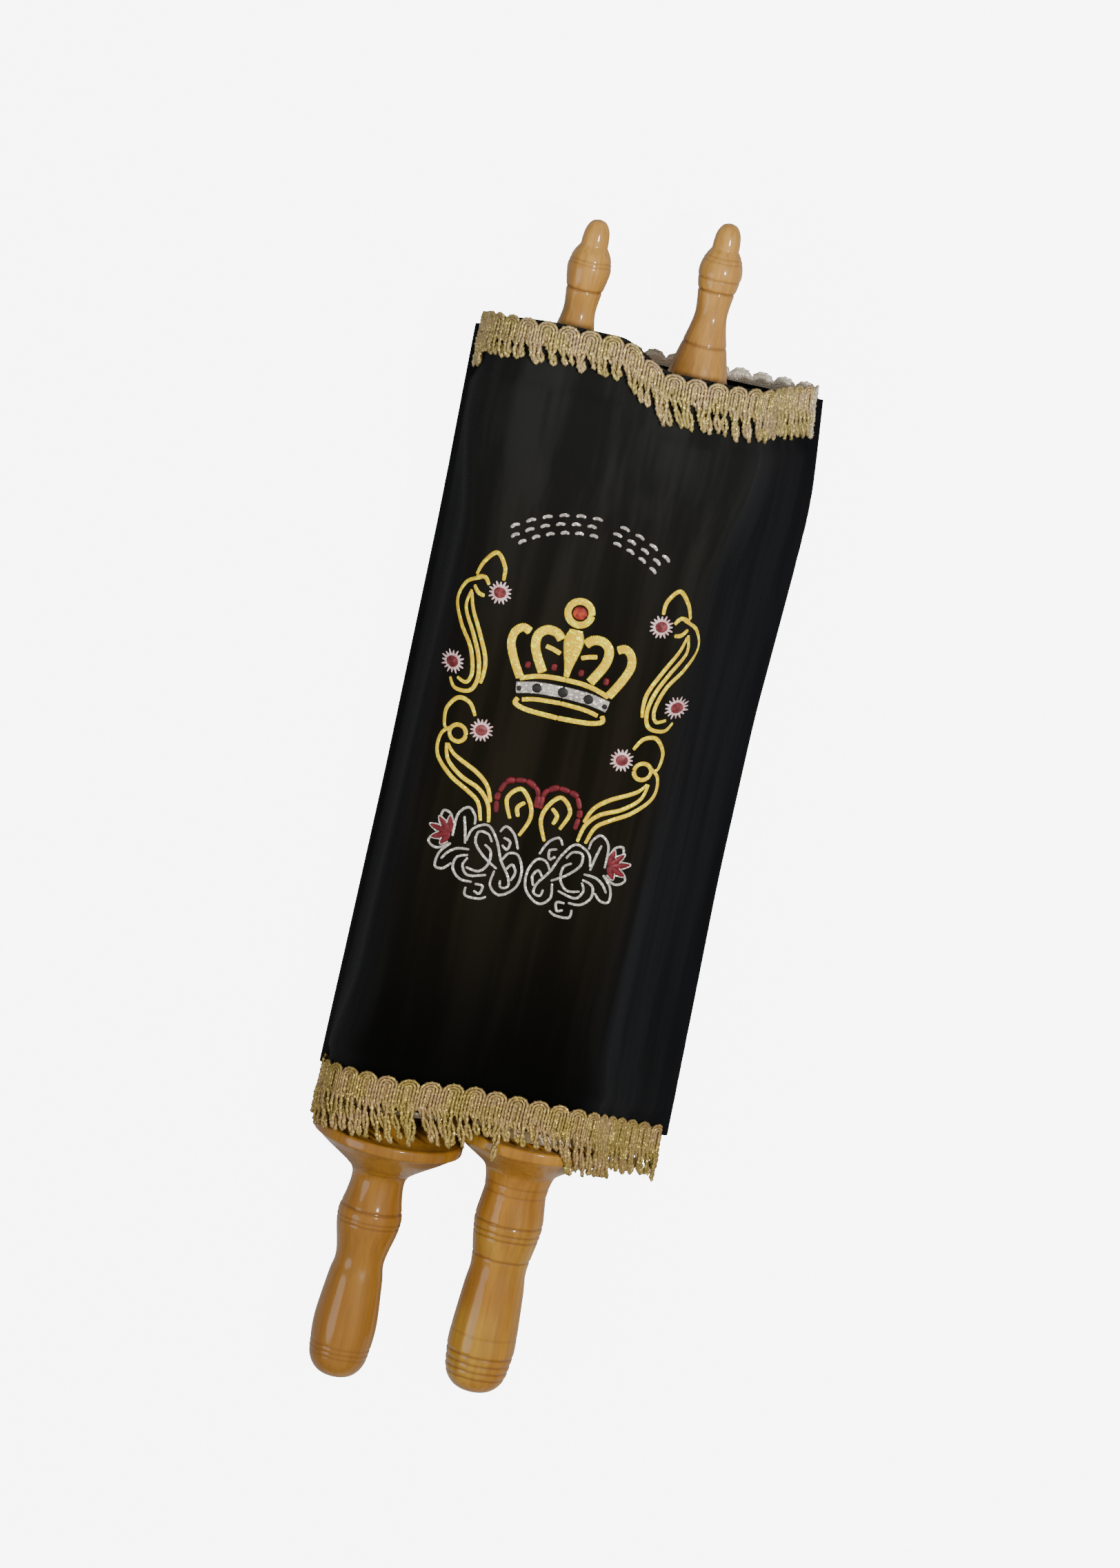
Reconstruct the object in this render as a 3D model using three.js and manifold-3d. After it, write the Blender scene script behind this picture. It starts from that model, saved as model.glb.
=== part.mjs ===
// A small dressed torah scroll lying on its back: two turned wooden rollers with the parchment wound on
// both, inside a loose velvet mantle with looped gold trim round its two hems.
// Millimetres. +X is to the right of the embroidered front, +Y runs from grips to finials, +Z is up.
// The origin is under the middle of the whole, on the surface that the scroll lies on.

import * as THREE from "three";
import { mergeVertices } from "three/addons/utils/BufferGeometryUtils.js";
import Module from "manifold-3d";

const wasm = await Module();
wasm.setup();

// Driving dimensions
const overallLength = 457;
const meshGap = 0.3;
const turnedSides = 20;

// Lengths along the scroll are counted from the end of the left grip.
const alongScroll = (fromGripEnd) => fromGripEnd - overallLength / 2;

// The two rollers: where each grip and finial ends, where the axis lies at both ends, and the radii of the
// grip with their places from its end
const leftRoller = {
  gripEnd: 0,
  finialEnd: 448.4,
  xAtGrip: -37.7,
  xAtFinial: -30.1,
  belly: 11.9,
  bellyAt: 23,
  waist: 9.3,
  waistAt: 47.5,
  ring: 12.1,
  ringAt: 64.8,
  neck: 10,
  neckAt: 77.6,
  discAt: 94,
};
const rightRoller = {
  gripEnd: 5.6,
  finialEnd: 457,
  xAtGrip: 14.3,
  xAtFinial: 16.7,
  belly: 12.75,
  bellyAt: 21,
  waist: 10.6,
  waistAt: 50,
  ring: 12.9,
  ringAt: 68.5,
  neck: 11.8,
  neckAt: 79.5,
  discAt: 98.2,
};
const discRadius = 28.4;
const discThickness = 4.6;
const discRound = 0.9;
const shaftRadius = 8;
const topDiscBelowTip = 67;

// The parchment
const coilRadius = 23;
const parchmentBottom = 110;
const parchmentTop = 375.5;
const sheetThickness = 0.8;

// The mantle's cloth and the trim outside it
const clothThickness = 1.5;
const trimThickness = 1.5;
const trimLift = 0.15;
const clothGap = 0.5;
const clothUnderTrim = trimLift + trimThickness + clothGap;
const edgeRound = 4.5;
const leftSeam = [[95, -66.9], [225, -65.3], [325, -65.3], [402, -66.6]];
const rightSeam = [[95, 65.8], [215, 63.4], [275, 63.7], [340, 66.4], [360, 66.8], [402, 62.4]];
const sagBetweenRolls = 1.2;

// How far the cloth stands from each roller's axis: round the bottom discs, the coils and the top discs
const reachAtBottomDisc = discRadius + meshGap + trimThickness + trimLift;
const reachAtCoil = coilRadius + clothThickness + 1.1;
const reachAtTopDisc = discRadius + meshGap + clothUnderTrim + clothThickness;

// Where the cloth leaves the bottom discs for the coils, and where it meets the top discs again
const leavesBottomDisc = [118, 160];
const meetsTopDisc = [326, 374];

// The rollers rise a little from the grips to the finials, because the cloth under the top discs is thicker
// than the loops under the bottom discs.
const bottomDiscsAt = 101;
const topDiscsAt = 383.4;
const rise = Math.atan((reachAtTopDisc - reachAtBottomDisc) / (topDiscsAt - bottomDiscsAt));
const axisHeight = reachAtBottomDisc - alongScroll(bottomDiscsAt) * Math.tan(rise);

// Hems: each front hem steps from its left level to its right one, and the back hangs towards the grips.
const topHemLevels = { left: 410.9, right: 402.5, stepFrom: -14, stepTo: 8, back: 401.2 };
const trimEdgeLevels = { left: 125.5, right: 128.4, stepFrom: -40, stepTo: -5, back: 114.5 };
const frontHeight = 60;

// Trim: a gimp heading with a scalloped upper edge, and slanting loops below it
const headingDepth = 11;
const topLoopDepth = 9;
const bottomLoopDepth = 13.4;
const shortLoopDepth = 4.6;
const shortTopLoopsUpTo = -6;
const shortBottomLoops = { from: -9, to: 25 };
const frontStartsAt = 42;
const loopsChangeOver = 5;
const scallopCount = 42;
const scallopDepth = 1.6;
const loopSlant = 2.6;
const trimOverHem = 0.8;
const seamAllowance = 2.8;

// Embroidery: stitched flat on the front, mirrored about a line between the two rolls. Its places are
// millimetres across from that line and lengths from stitchStart, which lies past the left grip's end.
const stitchMiddle = -7.1;
const stitchStart = 13.5;
const stitchRaised = 0.9;
const stitchSunk = 0.7;
const strokeWidth = 2;
const ribbonSteps = 7;
const flowerRadius = 4.2;
const flowerPetals = 9;

const varnishedWood = { color: 0xc98c46, roughness: 0.3, metalness: 0 };
const darkVelvet = { color: 0x0b0c10, roughness: 0.9, metalness: 0 };
const goldThread = { color: 0xb7a877, roughness: 0.45, metalness: 0.6 };
const paper = { color: 0xe9dcc0, roughness: 0.8, metalness: 0 };

function namedMesh(name, geometry, finish) {
  const mesh = new THREE.Mesh(geometry, new THREE.MeshStandardMaterial(finish));
  mesh.name = name;
  return mesh;
}

function toSolid(geometry) {
  const bare = new THREE.BufferGeometry();
  bare.setAttribute("position", geometry.getAttribute("position"));
  bare.setIndex(geometry.getIndex());
  const merged = mergeVertices(bare, 1e-4);
  const vertProperties = new Float32Array(merged.getAttribute("position").array);
  const triVerts = new Uint32Array(merged.getIndex().array);
  return new wasm.Manifold(new wasm.Mesh({ numProp: 3, vertProperties, triVerts }));
}

function toGeometry(solid) {
  const mesh = solid.getMesh();
  const geometry = new THREE.BufferGeometry();
  geometry.setAttribute("position", new THREE.BufferAttribute(mesh.vertProperties, 3));
  geometry.setIndex(new THREE.BufferAttribute(mesh.triVerts, 1));
  geometry.computeVertexNormals();
  return geometry;
}

const mix = THREE.MathUtils.lerp;
const ease = THREE.MathUtils.smoothstep;

// Turned rollers

// The outline of a roller, as points of radius and distance from the grip's end
function rollerOutline(roller) {
  const tip = roller.finialEnd - roller.gripEnd;
  const disc = roller.discAt;
  const topDisc = tip - topDiscBelowTip;
  const { belly, bellyAt, waist, waistAt, ring, ringAt, neck, neckAt } = roller;
  const grip = new THREE.SplineCurve([
    new THREE.Vector2(0, 0),
    new THREE.Vector2(belly * 0.42, 0.8),
    new THREE.Vector2(belly * 0.7, 3),
    new THREE.Vector2(belly * 0.89, 7),
    new THREE.Vector2(belly * 0.97, 13),
    new THREE.Vector2(belly, bellyAt),
    new THREE.Vector2(mix(belly, waist, 0.6), mix(bellyAt, waistAt, 0.66)),
    new THREE.Vector2(waist, waistAt),
    new THREE.Vector2(mix(waist, ring, 0.85), ringAt - 5.5),
    new THREE.Vector2(ring, ringAt),
    new THREE.Vector2(mix(neck, ring, 0.35), ringAt + 6.5),
    new THREE.Vector2(neck, neckAt),
  ]);
  const flare = new THREE.SplineCurve([
    new THREE.Vector2(neck, neckAt),
    new THREE.Vector2(neck + 0.9, disc - 12.5),
    new THREE.Vector2(14.8, disc - 9),
    new THREE.Vector2(22.6, disc - 3.6),
    new THREE.Vector2(discRadius - discRound, disc),
  ]);
  const bell = new THREE.SplineCurve([
    new THREE.Vector2(discRadius - discRound, topDisc),
    new THREE.Vector2(14.5, topDisc + 3),
    new THREE.Vector2(11.2, tip - 57.6),
    new THREE.Vector2(9.9, tip - 52),
    new THREE.Vector2(8.15, tip - 45),
    new THREE.Vector2(6.6, tip - 38.5),
    new THREE.Vector2(5.95, tip - 33.5),
    new THREE.Vector2(6.6, tip - 27),
    new THREE.Vector2(7.55, tip - 22),
    new THREE.Vector2(8, tip - 17.8),
    new THREE.Vector2(7, tip - 13.3),
    new THREE.Vector2(5, tip - 9.8),
  ]);
  const knob = new THREE.SplineCurve([
    new THREE.Vector2(5, tip - 9.8),
    new THREE.Vector2(4.9, tip - 7),
    new THREE.Vector2(4.3, tip - 3.6),
    new THREE.Vector2(2.6, tip - 0.9),
    new THREE.Vector2(0, tip),
  ]);
  const topDiscStart = topDisc - discThickness;
  return [
    ...grip.getPoints(16),
    ...flare.getPoints(4).slice(1),
    new THREE.Vector2(discRadius, disc + discRound),
    new THREE.Vector2(discRadius, disc + discThickness - discRound),
    new THREE.Vector2(discRadius - discRound, disc + discThickness),
    new THREE.Vector2(shaftRadius, disc + discThickness),
    new THREE.Vector2(shaftRadius, topDiscStart),
    new THREE.Vector2(discRadius - discRound, topDiscStart),
    new THREE.Vector2(discRadius, topDiscStart + discRound),
    new THREE.Vector2(discRadius, topDisc - discRound),
    ...bell.getPoints(12),
    ...knob.getPoints(4).slice(1),
  ];
}

function placeOnAxis(object, roller) {
  const run = roller.finialEnd - roller.gripEnd;
  object.position.set(roller.xAtGrip, alongScroll(roller.gripEnd), 0);
  object.rotation.z = -Math.atan((roller.xAtFinial - roller.xAtGrip) / run);
  return object;
}

// Where a roller's axis lies at a place along the scroll
function axisX(roller, along) {
  const share = (along - alongScroll(roller.gripEnd)) / (roller.finialEnd - roller.gripEnd);
  return mix(roller.xAtGrip, roller.xAtFinial, share);
}

const axisZ = (along) => axisHeight + along * Math.tan(rise);

// Parchment: one coil on each shaft, and the stretch of sheet that crosses between them at the back

function coil(roller) {
  const bottom = parchmentBottom - roller.gripEnd;
  const top = parchmentTop - roller.gripEnd;
  const bore = shaftRadius + meshGap;
  const section = [
    new THREE.Vector2(bore, bottom),
    new THREE.Vector2(coilRadius, bottom),
    new THREE.Vector2(coilRadius, top),
    new THREE.Vector2(bore, top),
    new THREE.Vector2(bore, bottom),
  ];
  const holder = placeOnAxis(new THREE.Object3D(), roller);
  holder.updateMatrix();
  return toSolid(new THREE.LatheGeometry(section, turnedSides).applyMatrix4(holder.matrix));
}

function crossingSheet() {
  const bottom = alongScroll(parchmentBottom);
  const top = alongScroll(parchmentTop);
  const outline = new THREE.Shape([
    new THREE.Vector2(axisX(leftRoller, bottom), bottom),
    new THREE.Vector2(axisX(rightRoller, bottom), bottom),
    new THREE.Vector2(axisX(rightRoller, top), top),
    new THREE.Vector2(axisX(leftRoller, top), top),
  ]);
  const sheet = new THREE.ExtrudeGeometry(outline, { depth: sheetThickness, bevelEnabled: false });
  return toSolid(sheet.translate(0, 0, 0.1 - coilRadius));
}

function parchment() {
  return toGeometry(coil(leftRoller).add(coil(rightRoller)).add(crossingSheet()));
}

// Mantle and trim: both follow one belt round the two rolls and the two side seams

// How far a place along the scroll has come between two lengths, eased at both ends
const easedBetween = (along, [from, to]) => ease(along, alongScroll(from), alongScroll(to));

function clothReach(along) {
  const fromDisc = mix(reachAtBottomDisc, reachAtCoil, easedBetween(along, leavesBottomDisc));
  return mix(fromDisc, reachAtTopDisc, easedBetween(along, meetsTopDisc));
}

// Where a side seam lies across, on the line between two of its listed places
function seamX(seam, along) {
  const next = seam.findIndex(([length]) => along < alongScroll(length));
  const i = next < 0 ? seam.length - 1 : Math.max(next, 1);
  const [[from, start], [to, end]] = [seam[i - 1], seam[i]];
  return mix(start, end, (along - alongScroll(from)) / (to - from));
}

// A parabola that is deepest in its middle
const sagAt = (sag, part) => sag * 4 * part * (1 - part);

// The stretches of the belt, anticlockwise from the left seam: arcs round the four centres, lines between
function beltStretches(along) {
  const reach = clothReach(along);
  const height = axisZ(along);
  const wheels = [
    { centre: new THREE.Vector2(seamX(leftSeam, along) + edgeRound, edgeRound), radius: edgeRound },
    { centre: new THREE.Vector2(seamX(rightSeam, along) - edgeRound, edgeRound), radius: edgeRound },
    { centre: new THREE.Vector2(axisX(rightRoller, along), height), radius: reach },
    { centre: new THREE.Vector2(axisX(leftRoller, along), height), radius: reach },
  ];
  const leaving = wheels.map((wheel, i) => {
    const next = wheels[(i + 1) % wheels.length];
    const run = next.centre.clone().sub(wheel.centre);
    return run.angle() - Math.acos((wheel.radius - next.radius) / run.length());
  });
  const stretches = [];
  wheels.forEach((wheel, i) => {
    const next = wheels[(i + 1) % wheels.length];
    const from = leaving[(i + wheels.length - 1) % wheels.length];
    const turn = THREE.MathUtils.euclideanModulo(leaving[i] - from, 2 * Math.PI);
    stretches.push({ wheel, from, turn, length: wheel.radius * turn, sag: 0 });
    const span = Math.sqrt(
      next.centre.distanceToSquared(wheel.centre) - (next.radius - wheel.radius) ** 2,
    );
    stretches.push({ wheel, from: leaving[i], turn: 0, length: span, sag: i === 2 ? sagBetweenRolls : 0 });
  });
  return stretches;
}

// The point of the belt at a share of the way round, moved in by inset
function beltPoint(along, share, inset) {
  const stretches = beltStretches(along);
  const total = stretches.reduce((sum, stretch) => sum + stretch.length, 0);
  let rest = THREE.MathUtils.euclideanModulo(share, 1) * total;
  let stretch = stretches[0];
  for (stretch of stretches) {
    if (rest <= stretch.length) break;
    rest -= stretch.length;
  }
  const part = rest / stretch.length;
  const angle = stretch.from + stretch.turn * part;
  const outward = new THREE.Vector2(Math.cos(angle), Math.sin(angle));
  const point = outward.clone().multiplyScalar(stretch.wheel.radius - inset).add(stretch.wheel.centre);
  if (stretch.turn === 0) {
    point.x -= outward.y * rest;
    point.y += outward.x * rest;
    point.y -= sagAt(stretch.sag, part);
  }
  return new THREE.Vector3(point.x, along, point.y);
}

// A hem at a share of the way round: the front's level where the cloth is high, the back's where it is low
function hemAlong(share, levels) {
  const place = beltPoint(alongScroll(levels.right), share, 0);
  const front = mix(levels.left, levels.right, ease(place.x, levels.stepFrom, levels.stepTo));
  return alongScroll(mix(levels.back, front, place.z / frontHeight));
}

const topHem = (share) => hemAlong(share, topHemLevels);
const trimEdge = (share) => hemAlong(share, trimEdgeLevels);

// A closed wall from rows of outer and inner points, each row a closed ring
function closedWall(outerRows, innerRows) {
  const around = outerRows[0].length;
  const rows = outerRows.length;
  const points = [...outerRows.flat(), ...innerRows.flat()];
  const innerStart = around * rows;
  const faces = [];
  const quad = (a, b, c, d) => faces.push(a, b, c, a, c, d);
  for (let i = 0; i < around; i += 1) {
    const next = (i + 1) % around;
    for (let row = 0; row + 1 < rows; row += 1) {
      const here = row * around;
      const above = here + around;
      quad(here + i, above + i, above + next, here + next);
      const below = innerStart + here;
      const aboveIt = innerStart + above;
      quad(below + next, aboveIt + next, aboveIt + i, below + i);
    }
    const last = (rows - 1) * around;
    quad(i, next, innerStart + next, innerStart + i);
    quad(last + next, last + i, innerStart + last + i, innerStart + last + next);
  }
  const geometry = new THREE.BufferGeometry().setFromPoints(points);
  geometry.setIndex(faces);
  geometry.computeVertexNormals();
  return geometry;
}

// Rows of the mantle: how far each lies from the nearer hem, and how far the trim presses the cloth in.
// It comes free of the trim over clothFrees.
const clothFrees = 4.5;
const pastBottomTrim = seamAllowance + 1.5;
const pastTopTrim = headingDepth + topLoopDepth + 2.5;
const rowsFromBottom = [
  { away: 0, inset: clothUnderTrim },
  { away: pastBottomTrim, inset: clothUnderTrim },
  { away: pastBottomTrim + clothFrees, inset: 0 },
  { away: 20, inset: 0 },
  { away: 36, inset: 0 },
  { away: 95, inset: 0 },
];
const rowsFromTop = [
  { away: 70, inset: 0 },
  { away: 48, inset: 0 },
  { away: pastTopTrim + clothFrees, inset: 0 },
  { away: pastTopTrim, inset: clothUnderTrim },
  { away: 0, inset: clothUnderTrim },
];
const mantleColumns = 44;

function mantle() {
  const shares = Array.from({ length: mantleColumns }, (_, i) => i / mantleColumns);
  const bottomHem = (share) => trimEdge(share) - seamAllowance;
  const ring = (heightOf, inset) => shares.map((share) => beltPoint(heightOf(share), share, inset));
  const outer = [];
  const inner = [];
  const addRow = (heightOf, inset) => {
    outer.push(ring(heightOf, inset));
    inner.push(ring(heightOf, inset + clothThickness));
  };
  rowsFromBottom.forEach(({ away, inset }) => addRow((share) => bottomHem(share) + away, inset));
  rowsFromTop.forEach(({ away, inset }) => addRow((share) => topHem(share) - away, inset));
  return closedWall(outer, inner);
}

// Embroidery

// The height of the cloth's front above the surface that the scroll lies on
function frontOfCloth(x, along) {
  const left = axisX(leftRoller, along);
  const right = axisX(rightRoller, along);
  const reach = clothReach(along);
  if (x < left || x > right) {
    const past = Math.max(left - x, x - right);
    return axisZ(along) + Math.sqrt(reach * reach - past * past);
  }
  const part = (x - left) / (right - left);
  return axisZ(along) + reach - sagAt(sagBetweenRolls, part);
}

// A patch on the other side of the middle line, whose faces the mirroring has turned inside out
function mirrored(geometry) {
  const places = geometry.getAttribute("position");
  const order = Array.from({ length: places.count }, (_, i) => i);
  for (let i = 0; i < order.length; i += 3) order.splice(i, 3, i, i + 2, i + 1);
  geometry.setIndex(order);
  return toSolid(geometry);
}

// A flat patch of stitching laid on the front
function stitched(outline, side) {
  const flat = new THREE.ExtrudeGeometry(outline, {
    depth: stitchRaised + stitchSunk,
    bevelEnabled: false,
    curveSegments: 3,
  });
  const places = flat.getAttribute("position");
  for (let i = 0; i < places.count; i += 1) {
    const x = stitchMiddle + side * places.getX(i);
    const along = alongScroll(stitchStart + places.getY(i));
    places.setXYZ(i, x, along, frontOfCloth(x, along) - stitchSunk + places.getZ(i));
  }
  return side > 0 ? toSolid(flat) : mirrored(flat);
}

// A stroke of even width along a smooth line through some points
function ribbon(points, width) {
  const line = new THREE.SplineCurve(points.map(([x, y]) => new THREE.Vector2(x, y)));
  const edge = (side) =>
    Array.from({ length: ribbonSteps + 1 }, (_, i) => {
      const across = line.getTangent(i / ribbonSteps).rotateAround(new THREE.Vector2(), Math.PI / 2);
      return line.getPoint(i / ribbonSteps).addScaledVector(across, (side * width) / 2);
    });
  return new THREE.Shape([...edge(1), ...edge(-1).reverse()]);
}

function roundPatch(x, y, radius, sides) {
  const corner = (i) => (2 * Math.PI * (i + 0.5)) / sides;
  return new THREE.Shape(
    Array.from({ length: sides }, (_, i) =>
      new THREE.Vector2(x + radius * Math.cos(corner(i)), y + radius * Math.sin(corner(i))),
    ),
  );
}

const crownBase = 255.3;
const crownHalfPatches = [
  ribbon([[-17.6, 266], [-20.2, 273.5], [-22.3, 281], [-21, 284.8], [-16.4, 285.6]], 3.8),
  ribbon([[-8, 271], [-10.6, 277], [-12.7, 283.6], [-11.2, 286.8], [-5.8, 286.2]], 4.2),
];
const crownMiddlePatches = [
  roundPatch(0, 295.4, 5.8, 14),
  new THREE.Shape([[-2.8, 290.5], [-4.2, 286], [-1.1, 268], [1.1, 268], [4.2, 286], [2.8, 290.5]].map(
    ([x, y]) => new THREE.Vector2(x, y),
  )),
  ribbon([[-16.8, crownBase + 8.6], [-10, crownBase + 11.4], [0, crownBase + 12.6],
    [10, crownBase + 11.4], [16.8, crownBase + 8.6]], 6.2),
  ribbon([[-15.2, crownBase + 3], [-8, crownBase + 1.6], [0, crownBase + 1.2],
    [8, crownBase + 1.6], [15.2, crownBase + 3]], 3),
];
const vinePatches = [
  ribbon([[-30.2, 305], [-34.3, 311], [-39.5, 305], [-43.2, 296], [-42, 283], [-35.4, 268],
    [-34, 259.5], [-37, 257], [-41, 261]], strokeWidth),
  ribbon([[-39, 245.5], [-40, 251], [-37, 254.4], [-33, 253.5], [-30, 250]], strokeWidth),
  ribbon([[-38.6, 245], [-40.6, 236], [-37, 229], [-27, 222.5], [-20, 217], [-17.6, 211]], strokeWidth),
];
const flowerCentres = [[-30.2, 297.2], [-41.8, 267.2], [-26, 245.6]];

function embroidery() {
  const halves = [
    ...crownHalfPatches,
    ...vinePatches,
    ...flowerCentres.map(([x, y]) => roundPatch(x, y, flowerRadius, flowerPetals)),
  ];
  const patches = [
    ...crownMiddlePatches.map((outline) => stitched(outline, 1)),
    ...halves.map((outline) => stitched(outline, 1)),
    ...halves.map((outline) => stitched(outline, -1)),
  ];
  return patches.reduce((whole, patch) => whole.add(patch));
}

// Trim: four columns to a scallop, from its crest over its shoulder to the notch and back
const scallopDrop = [0, 0.3, 1, 0.3];
const loopShare = [1, 0.92, 0, 0.92];
const loopUnevenness = 0.12;

// The loops are short where the front hangs over the left roller, and between the rolls at the bottom.
function frontTrimPlace(share, level) {
  const place = beltPoint(alongScroll(level), share, 0);
  return { x: place.x, atFront: ease(place.z, frontStartsAt, frontHeight) };
}

function topLoops(share) {
  const { x, atFront } = frontTrimPlace(share, topHemLevels.right);
  const past = ease(x, shortTopLoopsUpTo - loopsChangeOver, shortTopLoopsUpTo + loopsChangeOver);
  const short = atFront * (1 - past);
  return mix(topLoopDepth, shortLoopDepth, short);
}

function bottomLoops(share) {
  const { x, atFront } = frontTrimPlace(share, trimEdgeLevels.right);
  const { from, to } = shortBottomLoops;
  const within = ease(x, from - loopsChangeOver, from) * (1 - ease(x, to, to + loopsChangeOver));
  return mix(bottomLoopDepth, shortLoopDepth, atFront * within);
}

function trim(upperEdge, loopDepth) {
  const columns = scallopCount * scallopDrop.length;
  const beltLength = beltStretches(0).reduce((sum, stretch) => sum + stretch.length, 0);
  const places = Array.from({ length: columns }, (_, i) => {
    const phase = i % scallopDrop.length;
    const loop = Math.floor(i / scallopDrop.length);
    const share = i / columns;
    const length = loopDepth(share) * loopShare[phase] * (1 + loopUnevenness * Math.sin(loop * 2.4));
    const slanted = share - (loopSlant * loopShare[phase]) / beltLength;
    const upper = upperEdge(share) - scallopDepth * scallopDrop[phase];
    return { share, slanted, upper, lower: upperEdge(slanted) - headingDepth - length };
  });
  const rowsAt = (inset) => [
    places.map(({ slanted, lower }) => beltPoint(lower, slanted, inset)),
    places.map(({ share, upper }) => beltPoint(upper, share, inset)),
  ];
  return closedWall(rowsAt(trimLift), rowsAt(trimLift + trimThickness));
}

// The whole

const scroll = new THREE.Group();

const rolled = new THREE.Group();
rolled.position.z = axisHeight;
rolled.rotation.x = rise;
for (const [name, roller] of [["left_roller", leftRoller], ["right_roller", rightRoller]]) {
  const turned = new THREE.LatheGeometry(rollerOutline(roller), turnedSides);
  rolled.add(placeOnAxis(namedMesh(name, turned, varnishedWood), roller));
}
rolled.add(namedMesh("parchment", parchment(), paper));
scroll.add(rolled);

const dressed = toGeometry(toSolid(mantle()).add(embroidery()));
scroll.add(namedMesh("mantle", dressed, darkVelvet));
scroll.add(namedMesh("fringe_top", trim((share) => topHem(share) + trimOverHem, topLoops), goldThread));
scroll.add(namedMesh("fringe_bottom", trim(trimEdge, bottomLoops), goldThread));

export default scroll;
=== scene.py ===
"""A small dressed torah scroll lying on its back: turned and lacquered rollers, wound parchment, and a
dark velvet mantle with looped gold trim round its hems and embroidery on its front.

Sizes are in millimetres until a piece is finished, and the settings are in metres. +X is to the right of
the embroidered front, +Y runs from the grips to the finials, and +Z is up.
"""

import math
import random
from dataclasses import dataclass
from functools import lru_cache

import bmesh
import bpy
from mathutils import Matrix, Vector, noise
from mathutils.bvhtree import BVHTree


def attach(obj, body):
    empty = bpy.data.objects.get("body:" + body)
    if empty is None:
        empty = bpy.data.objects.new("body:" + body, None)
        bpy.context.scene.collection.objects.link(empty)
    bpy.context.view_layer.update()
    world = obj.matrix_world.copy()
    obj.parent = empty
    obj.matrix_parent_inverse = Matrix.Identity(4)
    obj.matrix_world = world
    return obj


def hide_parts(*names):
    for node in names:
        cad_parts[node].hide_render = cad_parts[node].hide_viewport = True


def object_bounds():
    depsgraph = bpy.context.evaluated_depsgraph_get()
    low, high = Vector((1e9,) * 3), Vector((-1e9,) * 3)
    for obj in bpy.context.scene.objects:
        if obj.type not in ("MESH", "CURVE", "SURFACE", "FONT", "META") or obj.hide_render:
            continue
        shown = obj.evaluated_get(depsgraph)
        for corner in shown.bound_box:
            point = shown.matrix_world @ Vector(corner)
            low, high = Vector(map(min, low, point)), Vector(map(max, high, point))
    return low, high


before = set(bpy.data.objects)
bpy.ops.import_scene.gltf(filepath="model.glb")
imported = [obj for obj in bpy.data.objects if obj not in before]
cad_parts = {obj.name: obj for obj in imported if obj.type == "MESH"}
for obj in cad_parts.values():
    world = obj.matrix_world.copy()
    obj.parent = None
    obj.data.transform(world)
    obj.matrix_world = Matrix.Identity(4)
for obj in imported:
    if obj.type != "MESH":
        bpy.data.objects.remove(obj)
cad_low, cad_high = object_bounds()

bl_info = {
    "name": "Dressed scroll",
    "version": (1, 0, 0),
    "blender": (4, 5, 0),
    "location": "View3D > Sidebar > Scroll",
    "description": "Makes a dressed scroll: rollers, parchment, velvet mantle, looped trim and embroidery",
    "category": "Object",
}

MM = 0.001
BODY = "root"
LENGTH = (cad_high.y - cad_low.y) / MM


# Small helpers

def mix(start, end, share):
    return start + (end - start) * share


def ease(value, start, end):
    share = min(max((value - start) / (end - start), 0.0), 1.0)
    return share * share * (3 - 2 * share)


def along_scroll(from_grip_end):
    """The place along Y of a length counted from the end of the left grip."""
    return from_grip_end - LENGTH / 2


def eased_between(y, lengths):
    return ease(y, along_scroll(lengths[0]), along_scroll(lengths[1]))


def smooth_line(points, per_span):
    """A smooth line through some points, with the same number of steps between each two."""
    points = [Vector(p) for p in points]
    last = len(points) - 1
    line = []
    for i in range(last):
        before, start, end, after = (points[max(min(j, last), 0)] for j in (i - 1, i, i + 1, i + 2))
        for step in range(per_span):
            t = step / per_span
            slope_in = (end - before) * 0.5
            slope_out = (after - start) * 0.5
            line.append(
                (2 * start - 2 * end + slope_in + slope_out) * t ** 3
                + (3 * end - 3 * start - 2 * slope_in - slope_out) * t ** 2
                + slope_in * t
                + start
            )
    return line + [points[-1]]


def evenly_spaced(line, spacing):
    """Points along a line, about spacing apart, from its first point to its last."""
    lengths = [0.0]
    for start, end in zip(line, line[1:]):
        lengths.append(lengths[-1] + (end - start).length)
    count = max(2, round(lengths[-1] / spacing))
    spaced = []
    span = 0
    for i in range(count + 1):
        reach = lengths[-1] * i / count
        while span < len(line) - 2 and lengths[span + 1] < reach:
            span += 1
        share = (reach - lengths[span]) / max(lengths[span + 1] - lengths[span], 1e-9)
        spaced.append(line[span].lerp(line[span + 1], min(share, 1.0)))
    return spaced


# Rollers

@dataclass(frozen=True)
class Roller:
    """One turned roller. Places of the grip are lengths from its end, and a groove is (place, depth, width),
    with the finial's grooves counted from its tip."""

    node: str
    grip_end: float
    finial_end: float
    x_at_grip: float
    x_at_finial: float
    belly: float
    belly_at: float
    waist: float
    waist_at: float
    ring: float
    ring_at: float
    neck: float
    neck_at: float
    disc_at: float
    darker: float
    grip_grooves: tuple
    finial_grooves: tuple

    @property
    def length(self):
        return self.finial_end - self.grip_end

    def axis_x(self, y):
        share = (y - along_scroll(self.grip_end)) / self.length
        return mix(self.x_at_grip, self.x_at_finial, share)


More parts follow.
